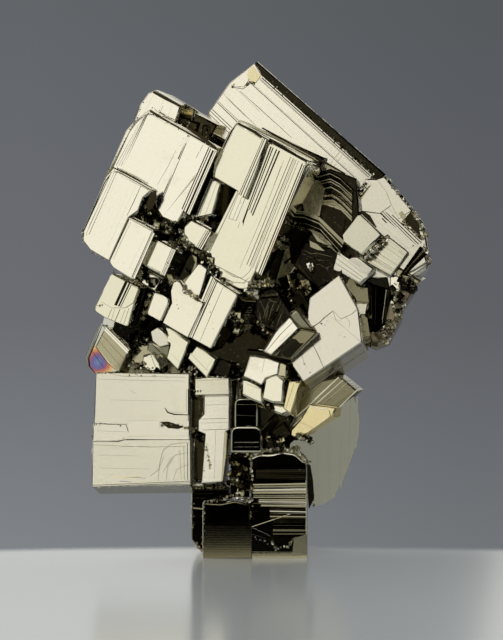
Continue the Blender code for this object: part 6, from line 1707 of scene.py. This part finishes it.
def makeFloor():
    mesh = bmesh.new()
    bmesh.ops.create_circle(mesh, cap_ends=True, segments=96, radius=studio["tableRadius"])
    data = bpy.data.meshes.new("studio_floor")
    mesh.to_mesh(data)
    mesh.free()
    floor = bpy.data.objects.new("studio_floor", data)
    bpy.context.collection.objects.link(floor)
    material = bpy.data.materials.new("pale table")
    material.use_nodes = True
    nodes = material.node_tree.nodes
    shader = nodes["Principled BSDF"]
    shader.inputs["Base Color"].default_value = studio["floorColour"] + (1.0,)
    shader.inputs["Roughness"].default_value = studio["floorRoughness"]
    shader.inputs["Emission Color"].default_value = studio["glowColour"] + (1.0,)
    shader.inputs["Emission Strength"].default_value = studio["floorGlow"]
    place = nodes.new("ShaderNodeTexCoord").outputs["Object"]
    apart = nodes.new("ShaderNodeVectorMath")
    apart.operation = "DISTANCE"
    link(nodes, place, apart.inputs[0])
    apart.inputs[1].default_value = studio["floorCentre"] + (0.0,)
    radius = studio["floorRadius"]
    shown = rangeNode(nodes, apart.outputs["Value"], radius, radius + studio["floorFade"], 1.0, 0.0)
    link(nodes, shown, shader.inputs["Alpha"])
    data.materials.append(material)
    return floor


def softbox(name, azimuth, elevation, wide, high, distance, strength, colour):
    # azimuth 0 is towards the camera and grows to its right; sizes are as seen from the specimen
    a, e = math.radians(azimuth), math.radians(elevation)
    away = Vector((math.sin(a) * math.cos(e), -math.cos(a) * math.cos(e), math.sin(e)))
    data = bpy.data.lights.new(name, "AREA")
    data.shape = "RECTANGLE"
    data.size = 2 * distance * math.tan(math.radians(wide / 2))
    data.size_y = 2 * distance * math.tan(math.radians(high / 2))
    data.color = colour
    data.energy = strength * math.pi * data.size * data.size_y
    lamp = bpy.data.objects.new(name, data)
    bpy.context.collection.objects.link(lamp)
    lamp.location = studio["aim"] + away * distance
    lamp.rotation_euler = away.to_track_quat("Z", "Y").to_euler()
    lamp.visible_camera = False
    return lamp


def makeWorld():
    world = bpy.data.worlds.new("studio")
    bpy.context.scene.world = world
    world.use_nodes = True
    nodes = world.node_tree.nodes
    nodes.clear()
    out = nodes.new("ShaderNodeOutputWorld")
    seen = nodes.new("ShaderNodeBackground")
    felt = nodes.new("ShaderNodeBackground")
    pick = nodes.new("ShaderNodeMixShader")
    path = nodes.new("ShaderNodeLightPath")
    way = nodes.new("ShaderNodeTexCoord").outputs["Generated"]
    split = nodes.new("ShaderNodeSeparateXYZ")
    link(nodes, way, split.inputs[0])
    ramp = fillRamp(nodes, studio["backdrop"])
    height = rangeNode(nodes, split.outputs["Z"], *studio["horizon"], 0.0, 1.0, smooth=False)
    link(nodes, height, ramp.inputs["Fac"])
    sideways = rangeNode(nodes, split.outputs["X"], *studio["sideways"], smooth=False)
    level = nodes.new("ShaderNodeVectorMath")
    level.operation = "SCALE"
    link(nodes, ramp.outputs["Color"], level.inputs[0])
    link(nodes, sideways, level.inputs["Scale"])
    link(nodes, level.outputs[0], seen.inputs["Color"])
    behind = rangeNode(nodes, split.outputs["Y"], *studio["behind"])
    shade = nodes.new("ShaderNodeCombineColor")
    for channel, share in zip(shade.inputs, studio["tint"]):
        link(nodes, mathNode(nodes, "MULTIPLY", behind, share), channel)
    link(nodes, shade.outputs[0], felt.inputs["Color"])
    link(nodes, path.outputs["Is Camera Ray"], pick.inputs[0])
    link(nodes, felt.outputs[0], pick.inputs[1])
    link(nodes, seen.outputs[0], pick.inputs[2])
    link(nodes, pick.outputs[0], out.inputs["Surface"])


makeFloor()
makeWorld()
for panel in studio["panels"]:
    softbox(*panel)

view = {"middle": -1.35, "distance": 560.0 + 11.9, "height": 47.6, "focalPixels": 2800.0, "picture": 640.0}
camera = bpy.data.cameras.new("camera")
camera.sensor_fit = "VERTICAL"
camera.sensor_height = 24.0
camera.lens = view["focalPixels"] / view["picture"] * camera.sensor_height
camera.clip_start = 0.01
lookout = bpy.data.objects.new("camera", camera)
lookout.location = (view["middle"] * mm, -view["distance"] * mm, view["height"] * mm)
lookout.rotation_euler = (math.radians(90.0), 0.0, 0.0)
bpy.context.collection.objects.link(lookout)
bpy.context.scene.camera = lookout
bpy.context.scene.view_settings.view_transform = "Standard"
print("studio ready")
